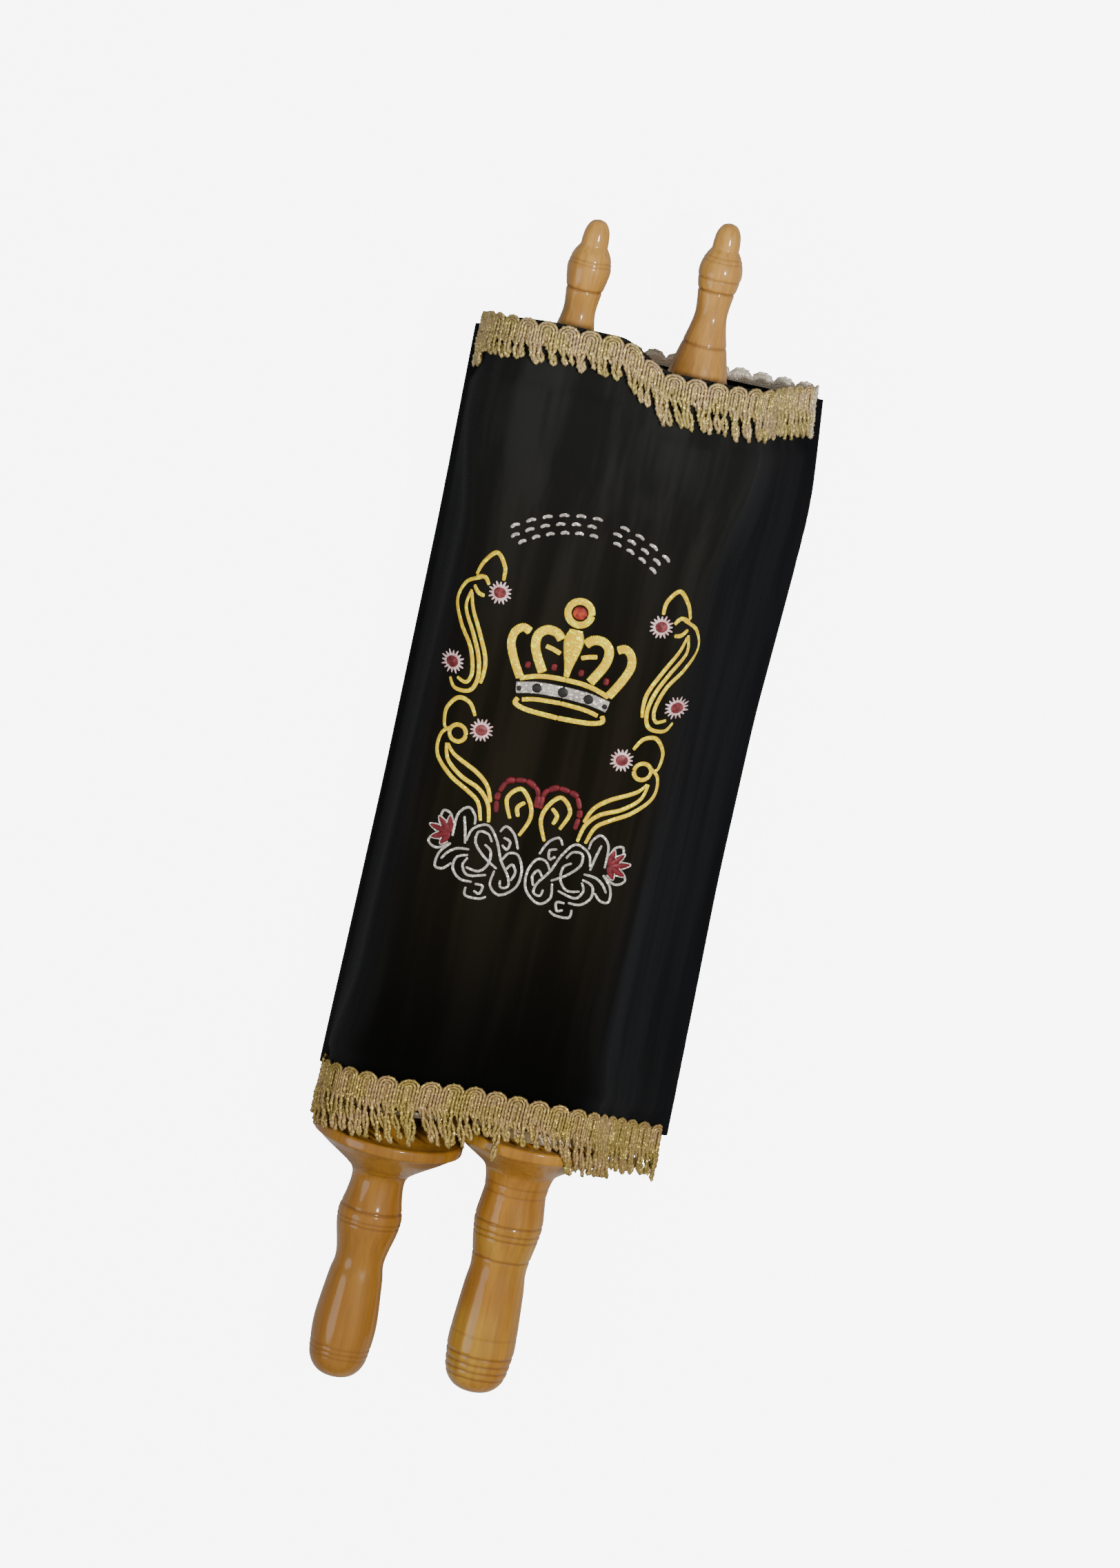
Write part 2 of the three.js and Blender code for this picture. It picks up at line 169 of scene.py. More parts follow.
LEFT_ROLLER = Roller(
    node="left_roller", grip_end=0, finial_end=LENGTH - 8.6, x_at_grip=-37.7, x_at_finial=-30.1,
    belly=11.9, belly_at=23, waist=9.3, waist_at=47.5, ring=12.1, ring_at=64.8, neck=10, neck_at=77.6,
    disc_at=94, darker=0.75,
    grip_grooves=(
        (9.3, 0.14, 0.5), (11.2, 0.16, 0.5), (13.2, 0.14, 0.5), (61.6, 0.22, 0.4), (63.4, 0.2, 0.35),
        (67.4, 0.34, 0.5), (82.3, 0.12, 0.5), (84.6, 0.12, 0.5)),
    finial_grooves=((15.2, 0.16, 0.35), (16.6, 0.16, 0.35), (26.1, 0.36, 0.5)),
)
RIGHT_ROLLER = Roller(
    node="right_roller", grip_end=5.6, finial_end=LENGTH, x_at_grip=14.3, x_at_finial=16.7,
    belly=12.75, belly_at=21, waist=10.6, waist_at=50, ring=12.9, ring_at=68.5, neck=11.8, neck_at=79.5,
    disc_at=98.2, darker=0.0,
    grip_grooves=(
        (7.3, 0.26, 0.5), (10.1, 0.28, 0.5), (12.9, 0.28, 0.5), (16.0, 0.32, 0.5), (23.6, 0.1, 0.5),
        (53.9, 0.28, 0.5), (62.3, 0.3, 0.4), (64.6, 0.26, 0.4), (67.9, 0.32, 0.45), (79.5, 0.16, 0.4),
        (83.0, 0.16, 0.4)),
    finial_grooves=(
        (12.6, 0.14, 0.35), (14.2, 0.14, 0.35), (20.7, 0.2, 0.4), (25.3, 0.36, 0.5), (45.3, 0.22, 0.6)),
)
ROLLERS = (LEFT_ROLLER, RIGHT_ROLLER)
DISC_RADIUS = 28.4
DISC_THICKNESS = 4.6
DISC_ROUND = 1.1
SHAFT_RADIUS = 8.0
TOP_DISC_BELOW_TIP = 67.0

# Points of the outline: the grip's end as (share of the belly, place), and the finial as (radius, below tip)
GRIP_END = ((0, 0), (0.42, 0.8), (0.7, 3), (0.89, 7), (0.97, 13))
BELL = ((11.2, 57.6), (9.9, 52), (8.15, 45), (6.6, 38.5), (5.95, 33.5), (6.6, 27), (7.55, 22), (8, 17.8),
        (7, 13.3), (5, 9.8))
KNOB = ((5, 9.8), (4.9, 7), (4.3, 3.6), (2.6, 0.9), (0, 0))
STEPS_PER_POINT = 12
TURNING_STEP = 0.4
RIM_STEPS = 4
GROOVE_FULLY_DARK = 0.25

# How far the cloth stands from each roller's axis
MESH_GAP = 0.3
CLOTH_THICKNESS = 1.2
TRIM_THICKNESS = 1.5
TRIM_LIFT = 0.15
CLOTH_UNDER_TRIM = TRIM_LIFT + TRIM_THICKNESS + 0.5
COIL_RADIUS = 23.0
REACH_AT_BOTTOM_DISC = DISC_RADIUS + MESH_GAP + TRIM_THICKNESS + TRIM_LIFT
REACH_AT_COIL = COIL_RADIUS + 2.6
REACH_AT_TOP_DISC = DISC_RADIUS + MESH_GAP + CLOTH_UNDER_TRIM + 1.5
BOTTOM_DISCS_AT = 101.0
TOP_DISCS_AT = 383.4
RISE = math.atan((REACH_AT_TOP_DISC - REACH_AT_BOTTOM_DISC) / (TOP_DISCS_AT - BOTTOM_DISCS_AT))
AXIS_HEIGHT = REACH_AT_BOTTOM_DISC - along_scroll(BOTTOM_DISCS_AT) * math.tan(RISE)


def axis_height(y):
    return AXIS_HEIGHT + y * math.tan(RISE)


def rolled(roller):
    """The place of a roller whose own axis runs along +Y from the origin."""
    lean = -math.atan((roller.x_at_finial - roller.x_at_grip) / roller.length)
    start = Matrix.Translation((roller.x_at_grip, along_scroll(roller.grip_end), 0))
    return (
        Matrix.Translation((0, 0, AXIS_HEIGHT))
        @ Matrix.Rotation(RISE, 4, "X")
        @ start
        @ Matrix.Rotation(lean, 4, "Z")
    )


def disc_rim(start):
    """The rim of a disc that begins at a length along its roller, its edges rounded by quarter turns."""
    points = []
    for along, turn in ((start + DISC_ROUND, -math.pi / 2), (start + DISC_THICKNESS - DISC_ROUND, 0)):
        for i in range(RIM_STEPS + 1):
            angle = turn + math.pi / 2 * i / RIM_STEPS
            radius = DISC_RADIUS - DISC_ROUND + DISC_ROUND * math.cos(angle)
            points.append(Vector((radius, along + DISC_ROUND * math.sin(angle))))
    return points


def roller_outline(roller):
    """The outline, as points of radius and length from the grip's end."""
    tip = roller.length
    disc = roller.disc_at
    top_disc = tip - TOP_DISC_BELOW_TIP
    rim = DISC_RADIUS - DISC_ROUND
    belly, waist, ring, neck = roller.belly, roller.waist, roller.ring, roller.neck
    grip = smooth_line([
        *((belly * share, place) for share, place in GRIP_END),
        (belly, roller.belly_at), (mix(belly, waist, 0.6), mix(roller.belly_at, roller.waist_at, 0.66)),
        (waist, roller.waist_at), (mix(waist, ring, 0.85), roller.ring_at - 5.5), (ring, roller.ring_at),
        (mix(neck, ring, 0.35), roller.ring_at + 6.5), (neck, roller.neck_at), (neck + 0.9, disc - 12.5),
        (14.8, disc - 9), (22.6, disc - 3.6), (rim, disc),
    ], STEPS_PER_POINT)
    bell = smooth_line([
        (rim, top_disc), (14.5, top_disc + 3), *((radius, tip - below) for radius, below in BELL),
    ], STEPS_PER_POINT)
    knob = smooth_line([(radius, tip - below) for radius, below in KNOB], STEPS_PER_POINT)
    top_start = top_disc - DISC_THICKNESS
    shaft = [Vector((SHAFT_RADIUS, disc + DISC_THICKNESS)), Vector((SHAFT_RADIUS, top_start))]
    return [
        *evenly_spaced(grip, TURNING_STEP)[:-1],
        *disc_rim(disc),
        *shaft,
        *disc_rim(top_start),
        *evenly_spaced(bell, TURNING_STEP)[1:-1],
        *evenly_spaced(knob, TURNING_STEP),
    ]


def groove_cut(roller, along):
    """How deep the turner's grooves cut at a place along a roller."""
    grooves = [(at, depth, width) for at, depth, width in roller.grip_grooves]
    grooves += [(roller.length - at, depth, width) for at, depth, width in roller.finial_grooves]
    return sum(depth * math.exp(-((along - at) / width) ** 2) for at, depth, width in grooves)


# Parchment

PARCHMENT_BOTTOM = 110.0
PARCHMENT_TOP = 375.5
SHEET_THICKNESS = 0.5
SHOWN_TURNS = 16
TURN_STEP_BACK = 0.35
COIL_STEPS = 64


def coil_outline(roller):
    """A coil's outline, closed on itself, with the edges of its turns stepping in and out at both ends."""
    bottom = PARCHMENT_BOTTOM - roller.grip_end
    top = PARCHMENT_TOP - roller.grip_end
    bore = SHAFT_RADIUS + MESH_GAP
    pitch = (COIL_RADIUS - bore) / SHOWN_TURNS
    ends = []
    for turn in range(SHOWN_TURNS):
        inner = bore + pitch * turn
        back = TURN_STEP_BACK * (0.4 + 0.6 * math.sin(turn * 2.1) ** 2)
        ends += [(inner + pitch * 0.12, 0.0), (inner + pitch * 0.5, back), (inner + pitch * 0.88, 0.0)]
    outline = [Vector((radius, bottom + back)) for radius, back in ends]
    outline += [Vector((COIL_RADIUS, bottom + 0.3)), Vector((COIL_RADIUS, top - 0.3))]
    outline += [Vector((radius, top - back)) for radius, back in reversed(ends)]
    return outline


# Mantle and trim: both follow one belt round the two rolls and the two side seams

@dataclass(frozen=True)
class HemLevels:
    """Where a hem lies on the front's left and right, with the step between them, and on the back."""

    left: float
    right: float
    step_from: float
    step_to: float
    back: float


LEFT_SEAM = ((95, -66.9), (225, -65.3), (325, -65.3), (402, -66.6))
RIGHT_SEAM = ((95, 65.8), (215, 63.4), (275, 63.7), (340, 66.4), (360, 66.8), (402, 62.4))
SEAM_SOFTENED = 8.0
EDGE_ROUND = 4.5
SAG_BETWEEN_ROLLS = 1.2
SAG_BESIDE_ROLL = 2.6
LEAVES_BOTTOM_DISC = (118.0, 160.0)
MEETS_TOP_DISC = (326.0, 374.0)

TOP_HEM = HemLevels(left=410.9, right=402.5, step_from=-14.0, step_to=8.0, back=396.5)
TOP_TRIM_EDGE = HemLevels(left=411.7, right=403.3, step_from=-14.0, step_to=8.0, back=402.0)
BOTTOM_TRIM_EDGE = HemLevels(left=125.5, right=128.4, step_from=-40.0, step_to=-5.0, back=114.5)
FRONT_HEIGHT = 60.0
FRONT_STARTS_AT = 42.0
SEAM_ALLOWANCE = 2.8
# On the front the velvet ends this far below the trim's edge: a real hem allowance, lengthened into a dark
# sheet behind the loops that stands for the shade between them
FRONT_SHADE_ALLOWANCE = 13.0
TOP_TRIM_DEPTH = 20.0


def cloth_reach(y):
    reach = mix(REACH_AT_BOTTOM_DISC, REACH_AT_COIL, eased_between(y, LEAVES_BOTTOM_DISC))
    return mix(reach, REACH_AT_TOP_DISC, eased_between(y, MEETS_TOP_DISC))


def seam_line(seam, y):
    i = 1
    while i < len(seam) - 1 and y > along_scroll(seam[i][0]):
        i += 1
    (start_at, start), (end_at, end) = seam[i - 1], seam[i]
    return mix(start, end, (y - along_scroll(start_at)) / (end_at - start_at))


@lru_cache(maxsize=40000)
def seam_x(seam, y):
    """Where a side seam lies across: the line through its listed places, its bends softened."""
    return sum(seam_line(seam, y + shift) for shift in (-SEAM_SOFTENED, 0, SEAM_SOFTENED)) / 3


@lru_cache(maxsize=20000)
def belt_stretches(y):
    """The belt's stretches, anticlockwise from the left seam: (centre, radius, from, turn, length, sag)."""
    reach = cloth_reach(y)
    height = axis_height(y)
    wheels = [
        (Vector((seam_x(LEFT_SEAM, y) + EDGE_ROUND, EDGE_ROUND)), EDGE_ROUND),
        (Vector((seam_x(RIGHT_SEAM, y) - EDGE_ROUND, EDGE_ROUND)), EDGE_ROUND),
        (Vector((RIGHT_ROLLER.axis_x(y), height)), reach),
        (Vector((LEFT_ROLLER.axis_x(y), height)), reach),
    ]
    sags = (0.0, SAG_BESIDE_ROLL, SAG_BETWEEN_ROLLS, SAG_BESIDE_ROLL * 0.3)
    leaving = []
    for (centre, radius), (next_centre, next_radius) in zip(wheels, wheels[1:] + wheels[:1]):
        run = next_centre - centre
        leaving.append(math.atan2(run.y, run.x) - math.acos((radius - next_radius) / run.length))
    stretches = []
    for i, (centre, radius) in enumerate(wheels):
        next_centre, next_radius = wheels[(i + 1) % len(wheels)]
        turn = (leaving[i] - leaving[i - 1]) % (2 * math.pi)
        stretches.append((centre, radius, leaving[i - 1], turn, radius * turn, 0.0))
        span = math.sqrt((next_centre - centre).length_squared - (next_radius - radius) ** 2)
        stretches.append((centre, radius, leaving[i], 0.0, span, sags[i]))
    return stretches


def belt_point(y, share, inset=0.0):
    """The point of the belt at a share of the way round. Inset moves it in."""
    stretches = belt_stretches(round(y, 2))
    rest = (share % 1.0) * sum(stretch[4] for stretch in stretches)
    for centre, radius, start, turn, length, sag in stretches:
        if rest <= length:
            break
        rest -= length
    part = min(rest / length, 1.0)
    angle = start + turn * part
    outward = Vector((math.cos(angle), math.sin(angle)))
    place = centre + outward * (radius - inset)
    if turn == 0.0:
        place += Vector((-outward.y, outward.x)) * rest - outward * sag * 4 * part * (1 - part)
    return Vector((place.x, y, place.y))


def hem_at(share, levels):
    """A hem at a share of the way round: the front's level where the cloth is high, the back's where low."""
    place = belt_point(along_scroll(levels.right), share)
    front = mix(levels.left, levels.right, ease(place.x, levels.step_from, levels.step_to))
    return along_scroll(mix(levels.back, front, place.z / FRONT_HEIGHT))


def bottom_hem(share):
    """The lower hem, which on the front hangs down behind the trim's loops as a dark sheet standing for the
    shade between them, and stays clear of the discs.
    """
    edge = hem_at(share, BOTTOM_TRIM_EDGE)
    front = belt_point(edge, share).z / FRONT_HEIGHT
    return edge - mix(SEAM_ALLOWANCE, FRONT_SHADE_ALLOWANCE, min(front, 1.0))


BELT_LENGTH = sum(stretch[4] for stretch in belt_stretches(0.0))
SEAM_REACH = 4.5
SEAM_WELT = 0.9
WELT_CORE = 1.2
FOLD_DEPTH = 0.6
WANDER_ACROSS, WANDER_ALONG = 9.0, 0.006
RIPPLE_ACROSS, RIPPLE_ALONG = 26.0, 0.004
CLOTH_SLACK = 0.2
FREE_ABOVE_TRIM = (1.5, 6)
FREE_BELOW_TRIM = (TOP_TRIM_DEPTH + 1, TOP_TRIM_DEPTH + 7)


def near_seam(place):
    """One on the outermost line of a side seam, and nothing a few millimetres from it."""
    away = min(math.hypot(place.x - seam_x(seam, round(place.y, 1)), place.z - EDGE_ROUND)
               for seam in (LEFT_SEAM, RIGHT_SEAM))
    return 1 - ease(away, WELT_CORE, SEAM_REACH)


def fold_inset(share, y):
    """Soft lengthwise folds: how far the cloth lies inside the belt."""
    wander = noise.noise(Vector((share * WANDER_ACROSS, y * WANDER_ALONG, 3.0)))
    ripple = noise.noise(Vector((share * RIPPLE_ACROSS + wander, y * RIPPLE_ALONG, 11.0)))
    return FOLD_DEPTH * (0.6 * wander + 0.5 * ripple + 0.3)


def cloth_inset(share, y):
    """The cloth is pressed in under both trims, folds a little between them and stands out at its seams."""
    bottom_free = ease(y - hem_at(share, BOTTOM_TRIM_EDGE), *FREE_ABOVE_TRIM)
    top_free = ease(hem_at(share, TOP_TRIM_EDGE) - y, *FREE_BELOW_TRIM)
    inset = mix(CLOTH_UNDER_TRIM, fold_inset(share, y) + CLOTH_SLACK, bottom_free * top_free)
    return mix(inset, -SEAM_WELT, near_seam(belt_point(y, share)))


# Finishing pieces

STITCH_SIDES = 7
CLOSE = 0.001
SEAM_CLOSE = 0.01


def weld(bm, distance):
    """Joins points that lie closer than a distance, and turns every face outward."""
    bmesh.ops.remove_doubles(bm, verts=bm.verts, dist=distance)
    bmesh.ops.recalc_face_normals(bm, faces=bm.faces)


def add_to_scene(name, mesh, material):
    piece = bpy.data.objects.new(name, mesh)
    bpy.context.collection.objects.link(piece)
    mesh.materials.append(material)
    return piece


def finished(name, bm, material):
    """Turns a bmesh in millimetres into a piece in metres."""
    bmesh.ops.scale(bm, vec=(MM, MM, MM), verts=bm.verts)
    for face in bm.faces:
        face.smooth = True
    mesh = bpy.data.meshes.new(name)
    bm.to_mesh(mesh)
    bm.free()
    return add_to_scene(name, mesh, material)


def section_curve(name, points):
    """A closed outline for a cord or a stroke, one unit to each side."""
    curve = bpy.data.curves.new(name, "CURVE")
    curve.dimensions = "2D"
    spline = curve.splines.new("POLY")
    spline.points.add(len(points) - 1)
    for point, (x, y) in zip(spline.points, points):
        point.co = (x, y, 0, 1)
    spline.use_cyclic_u = True
    return bpy.data.objects.new(name, curve)


def cord_section(name, lobes, dent, sides):
    """A round cord, dented between its strands."""
    points = []
    for i in range(sides):
        angle = 2 * math.pi * i / sides
        radius = 1 - dent * (0.5 - 0.5 * math.cos(lobes * angle))
        points.append((radius * math.cos(angle), radius * math.sin(angle)))
    return section_curve(name, points)


def stitch_section(name, flatness):
    """Laid stitching, domed above and nearly flat below."""
    angles = [math.pi * i / STITCH_SIDES for i in range(STITCH_SIDES + 1)]
    return section_curve(name, [(math.cos(a), flatness * (math.sin(a) - 0.35)) for a in angles])


def swept(name, paths, section, material, twist_mode="MINIMUM"):
    """One piece from many cords or strokes. A path is a list of (place, radius, tilt), in millimetres."""
    curve = bpy.data.curves.new(name + "_paths", "CURVE")
    curve.dimensions = "3D"
    curve.twist_mode = twist_mode
    curve.bevel_mode = "OBJECT"
    curve.bevel_object = section
    curve.use_fill_caps = True
    for path in paths:
        spline = curve.splines.new("POLY")
        spline.points.add(len(path) - 1)
        for point, (place, radius, tilt) in zip(spline.points, path):
            point.co = (*place, 1)
            point.radius = radius
            point.tilt = tilt
        spline.use_smooth = True
    holder = bpy.data.objects.new(name + "_paths", curve)
    bpy.context.collection.objects.link(holder)
    mesh = bpy.data.meshes.new_from_object(holder.evaluated_get(bpy.context.evaluated_depsgraph_get()))
    mesh.name = name
    bpy.data.objects.remove(holder)
    bm = bmesh.new()
    bm.from_mesh(mesh)
    bpy.data.meshes.remove(mesh)
    weld(bm, CLOSE)
    return finished(name, bm, material)


# Shader groups and materials

def new_group(name, inputs, outputs):
    tree = bpy.data.node_groups.new(name, "ShaderNodeTree")
    for label, kind, default in inputs:
        socket = tree.interface.new_socket(name=label, in_out="INPUT", socket_type=kind)
        if default is not None:
            socket.default_value = default
    for label, kind in outputs:
        tree.interface.new_socket(name=label, in_out="OUTPUT", socket_type=kind)
    return tree, tree.nodes.new("NodeGroupInput").outputs, tree.nodes.new("NodeGroupOutput").inputs


def put_in(tree, socket, value):
    """Links a socket to an output, or sets its constant value."""
    if isinstance(value, bpy.types.NodeSocket):
        tree.links.new(value, socket)
    else:
        socket.default_value = value


def place(tree, kind, settings=None, **values):
    """Adds a node with its properties and its sockets, each given by name or by _ and its number."""
    made = tree.nodes.new(kind)
    for key, value in (settings or {}).items():
        setattr(made, key, value)
    for key, value in values.items():
        socket = made.inputs[int(key[1:])] if key[1:].isdigit() else made.inputs[key.replace("_", " ")]
        put_in(tree, socket, value)
    return made


def math_node(tree, operation, first, second=0.0, clamp=False):
    made = place(tree, "ShaderNodeMath", {"operation": operation, "use_clamp": clamp}, _0=first, _1=second)
    return made.outputs[0]


def ramp(tree, value, low, high, start=0.0, end=1.0):
    """A value eased from start to end while its input goes from low to high."""
    made = place(tree, "ShaderNodeMapRange", {"interpolation_type": "SMOOTHSTEP"}, Value=value, From_Min=low,
                 From_Max=high, To_Min=start, To_Max=end)
    return made.outputs[0]


def blended(tree, share, first, second):
    made = place(tree, "ShaderNodeMix", {"data_type": "RGBA"}, _0=share, _6=first, _7=second)
    return made.outputs[2]


def streaks_group():
    """Long soft streaks along Y, as in wood grain or brushed pile."""
    tree, given, result = new_group(
        "long_streaks",
        [("Vector", "NodeSocketVector", None), ("Across", "NodeSocketFloat", 300.0),
         ("Along", "NodeSocketFloat", 12.0), ("Detail", "NodeSocketFloat", 4.0)],
        [("Mask", "NodeSocketFloat")],
    )
    scale = place(tree, "ShaderNodeCombineXYZ", X=given["Across"], Y=given["Along"], Z=given["Across"])
    stretched = place(tree, "ShaderNodeVectorMath", {"operation": "MULTIPLY"}, _0=given["Vector"],
                      _1=scale.outputs[0])
    grain = place(tree, "ShaderNodeTexNoise", Vector=stretched.outputs[0], Scale=1.0,
                  Detail=given["Detail"], Roughness=0.6)
    tree.links.new(ramp(tree, grain.outputs["Fac"], 0.3, 0.7), result["Mask"])


def mottle_group():
    """Soft patches of two colours."""
    tree, given, result = new_group(
        "soft_mottle",
        [("Vector", "NodeSocketVector", None), ("Scale", "NodeSocketFloat", 40.0),
         ("First", "NodeSocketColor", (1, 1, 1, 1)), ("Second", "NodeSocketColor", (0, 0, 0, 1))],
        [("Color", "NodeSocketColor"), ("Mask", "NodeSocketFloat")],
    )
    patches = place(tree, "ShaderNodeTexNoise", Vector=given["Vector"], Scale=given["Scale"], Detail=3.0,
                    Roughness=0.55)
    mask = ramp(tree, patches.outputs["Fac"], 0.36, 0.64)
    tree.links.new(blended(tree, mask, given["First"], given["Second"]), result["Color"])
    tree.links.new(mask, result["Mask"])


def glints_group():
    """Fine flecks for painted glints, as metal thread catches the light."""
    tree, given, result = new_group(
        "thread_glints",
        [("Vector", "NodeSocketVector", None), ("Scale", "NodeSocketFloat", 900.0),
         ("Share", "NodeSocketFloat", 0.25)],
        [("Mask", "NodeSocketFloat"), ("Height", "NodeSocketFloat")],
    )
    cells = place(tree, "ShaderNodeTexVoronoi", Vector=given["Vector"], Scale=given["Scale"])
    level = place(tree, "ShaderNodeSeparateColor", Color=cells.outputs["Color"])
    tree.links.new(math_node(tree, "LESS_THAN", level.outputs[0], given["Share"]), result["Mask"])
    tree.links.new(cells.outputs["Distance"], result["Height"])


def use_group(tree, group_name, **values):
    made = tree.nodes.new("ShaderNodeGroup")
    made.node_tree = bpy.data.node_groups[group_name]
    for key, value in values.items():
        put_in(tree, made.inputs[key], value)
    return made


def new_material(name, **shader_values):
    material = bpy.data.materials.new(name)
    material.use_nodes = True
    tree = material.node_tree
    shader = tree.nodes["Principled BSDF"]
    for key, value in shader_values.items():
        shader.inputs[key.replace("_", " ")].default_value = value
    where = tree.nodes.new("ShaderNodeTexCoord").outputs["Object"]
    return material, tree, shader, where


def bump_into(tree, shader, height, strength, distance):
    bump = place(tree, "ShaderNodeBump", Height=height, Strength=strength, Distance=distance)
    tree.links.new(bump.outputs[0], shader.inputs["Normal"])


def rgba(colour, brighter=1.0):
    return (*(min(channel * brighter, 1.0) for channel in colour), 1.0)


# Where the colours change, in metres: along the scroll from its middle, and in height
WOOD_BROWN_ALONG = (-0.08, 0.1)
WOOD_PALE_ALONG = (0.0, 0.18)
# Painted light and painted sheen on the velvet
VELVET_PAINTED_LIGHT_ALONG = (-0.11, 0.0)
VELVET_PAINTED_SHEEN_ALONG = (0.03, 0.16)
VELVET_PAINTED_SIDE_HEIGHT = (0.056, 0.04)
# Darker, yellower gold towards the lower hem
GOLD_LOWER_TINT_ALONG = (0.0, -0.08)
# Painted light on the back of the upper trim
GOLD_PAINTED_LIGHT_ALONG = (0.0, 0.1)
GOLD_PAINTED_LIGHT_HEIGHT = (0.011, 0.004)

# How much of a second colour is laid over the first, and the least and most of what varies
FINIAL_PALENESS = 0.55
FIGURE_SHARE = 0.4
GRAIN_SHARE = 0.38
GROOVE_DARK_SHARE = 0.6
FIBRE_SHARE = 0.3
WOOD_ROUGHNESS = (0.4, 0.55)
THREAD_ROUGHNESS = (0.45, 0.65)
VELVET_STREAKS = (0.7, 1.35)


def lacquered_wood(name, darker, settings):
    """Clear-lacquered wood: long grain, broad figure, and a darker colour in the turner's grooves."""
    material, tree, shader, where = new_material(
        name, Coat_Weight=settings.lacquer, Coat_Roughness=0.11, Coat_IOR=1.45, Specular_IOR_Level=0.12)
    grain = use_group(tree, "long_streaks", Vector=where, Across=520.0, Along=14.0, Detail=5.0)
    figure = use_group(tree, "long_streaks", Vector=where, Across=110.0, Along=6.0, Detail=2.0)
    body = use_group(tree, "soft_mottle", Vector=where, Scale=26.0, First=rgba(settings.wood_colour),
                     Second=rgba(settings.wood_warm_colour))
    dark = rgba(settings.wood_grain_colour)
    along = place(tree, "ShaderNodeSeparateXYZ", Vector=where).outputs["Y"]
    # The left roller is made darker towards its grip end, fading out along it
    by_grips = ramp(tree, along, *WOOD_BROWN_ALONG, darker, 0.0)
    by_finials = ramp(tree, along, *WOOD_PALE_ALONG, 0.0, FINIAL_PALENESS)
    grip_darkened = blended(tree, by_grips, body.outputs["Color"], rgba(settings.wood_dark_colour))
    toned = blended(tree, by_finials, grip_darkened, rgba(settings.wood_pale_colour))
    figured = blended(tree, math_node(tree, "MULTIPLY", figure.outputs[0], FIGURE_SHARE), toned, dark)
    grained = blended(tree, math_node(tree, "MULTIPLY", grain.outputs[0], GRAIN_SHARE), figured, dark)
    cut = place(tree, "ShaderNodeAttribute", {"attribute_name": "groove"})
    # A darker colour in the grooves, fullest where the cut is deepest
    groove_darkness = math_node(tree, "MULTIPLY", cut.outputs["Fac"], GROOVE_DARK_SHARE, clamp=True)
    tree.links.new(blended(tree, groove_darkness, grained, rgba(settings.wood_groove_colour)),
                   shader.inputs["Base Color"])
    tree.links.new(ramp(tree, body.outputs["Mask"], 0.0, 1.0, *WOOD_ROUGHNESS), shader.inputs["Roughness"])
    bump_into(tree, shader, grain.outputs[0], strength=0.14, distance=0.0002)
    return material


def parchment_sheet(settings):
    material, tree, shader, where = new_material("parchment_sheet", Roughness=0.75)
    aged = rgba(settings.sheet_aged_colour)
    tint = use_group(tree, "soft_mottle", Vector=where, Scale=60.0, First=rgba(settings.sheet_colour),
                     Second=aged)
    fibres = use_group(tree, "long_streaks", Vector=where, Across=900.0, Along=90.0, Detail=3.0)
    share = math_node(tree, "MULTIPLY", fibres.outputs[0], FIBRE_SHARE)
    tree.links.new(blended(tree, share, tint.outputs["Color"], aged), shader.inputs["Base Color"])
    bump_into(tree, shader, fibres.outputs[0], strength=0.2, distance=0.0002)
    return material


def pile_velvet(settings):
    """Velvet with painted light in its colour: blackest by the lower hem, a warm painted light in the middle,
    a grey painted sheen by the upper hem, and painted side light low on the sides.
    """
    material, tree, shader, where = new_material(
        "pile_velvet", Roughness=0.95, Specular_IOR_Level=0.04, Sheen_Weight=settings.sheen,
        Sheen_Roughness=0.45)
    parts = place(tree, "ShaderNodeSeparateXYZ", Vector=where)
    # Painted light along the scroll: a warm light in the middle and a grey sheen by the upper hem, then
    # painted side light low down
    lower = blended(tree, ramp(tree, parts.outputs["Y"], *VELVET_PAINTED_LIGHT_ALONG), rgba(settings.velvet_colour),
                    rgba(settings.velvet_painted_light_colour))
    front = blended(tree, ramp(tree, parts.outputs["Y"], *VELVET_PAINTED_SHEEN_ALONG), lower,
                    rgba(settings.velvet_painted_sheen_colour))
    side = ramp(tree, parts.outputs["Z"], *VELVET_PAINTED_SIDE_HEIGHT)
    toned = blended(tree, side, front, rgba(settings.velvet_painted_side_light_colour))
    brushed = use_group(tree, "long_streaks", Vector=where, Across=75.0, Along=5.0, Detail=3.0)
    shade = ramp(tree, brushed.outputs[0], 0.0, 1.0, *VELVET_STREAKS)
    streaked = place(tree, "ShaderNodeVectorMath", {"operation": "SCALE"}, _0=toned, Scale=shade)
    tree.links.new(streaked.outputs[0], shader.inputs["Base Color"])
    pile = place(tree, "ShaderNodeTexNoise", Vector=where, Scale=2600.0, Detail=2.0)
    bump_into(tree, shader, pile.outputs["Fac"], strength=0.35, distance=0.0003)
    return material


def metal_thread(name, colour, other_colour, metallic, roughness, glint_share):
    """Gold or silver thread: two tints, painted glints (bright flecks in the colour, smoother there) and a
    fine wrapped surface.
    """
    material, tree, shader, where = new_material(name, Metallic=metallic, Specular_IOR_Level=0.2)
    tint = use_group(tree, "soft_mottle", Vector=where, Scale=90.0, First=rgba(colour),
                     Second=rgba(other_colour))
    glints = use_group(tree, "thread_glints", Vector=where, Scale=1500.0, Share=glint_share)
    # Painted glints: flecks of the thread's colour made brighter
    bright = blended(tree, glints.outputs["Mask"], tint.outputs["Color"], rgba(colour, 2.2))
    tree.links.new(bright, shader.inputs["Base Color"])
    tree.links.new(ramp(tree, glints.outputs["Mask"], 0.0, 1.0, roughness, roughness * 0.6),
                   shader.inputs["Roughness"])
    bump_into(tree, shader, glints.outputs["Height"], strength=0.5, distance=0.0003)
    return material


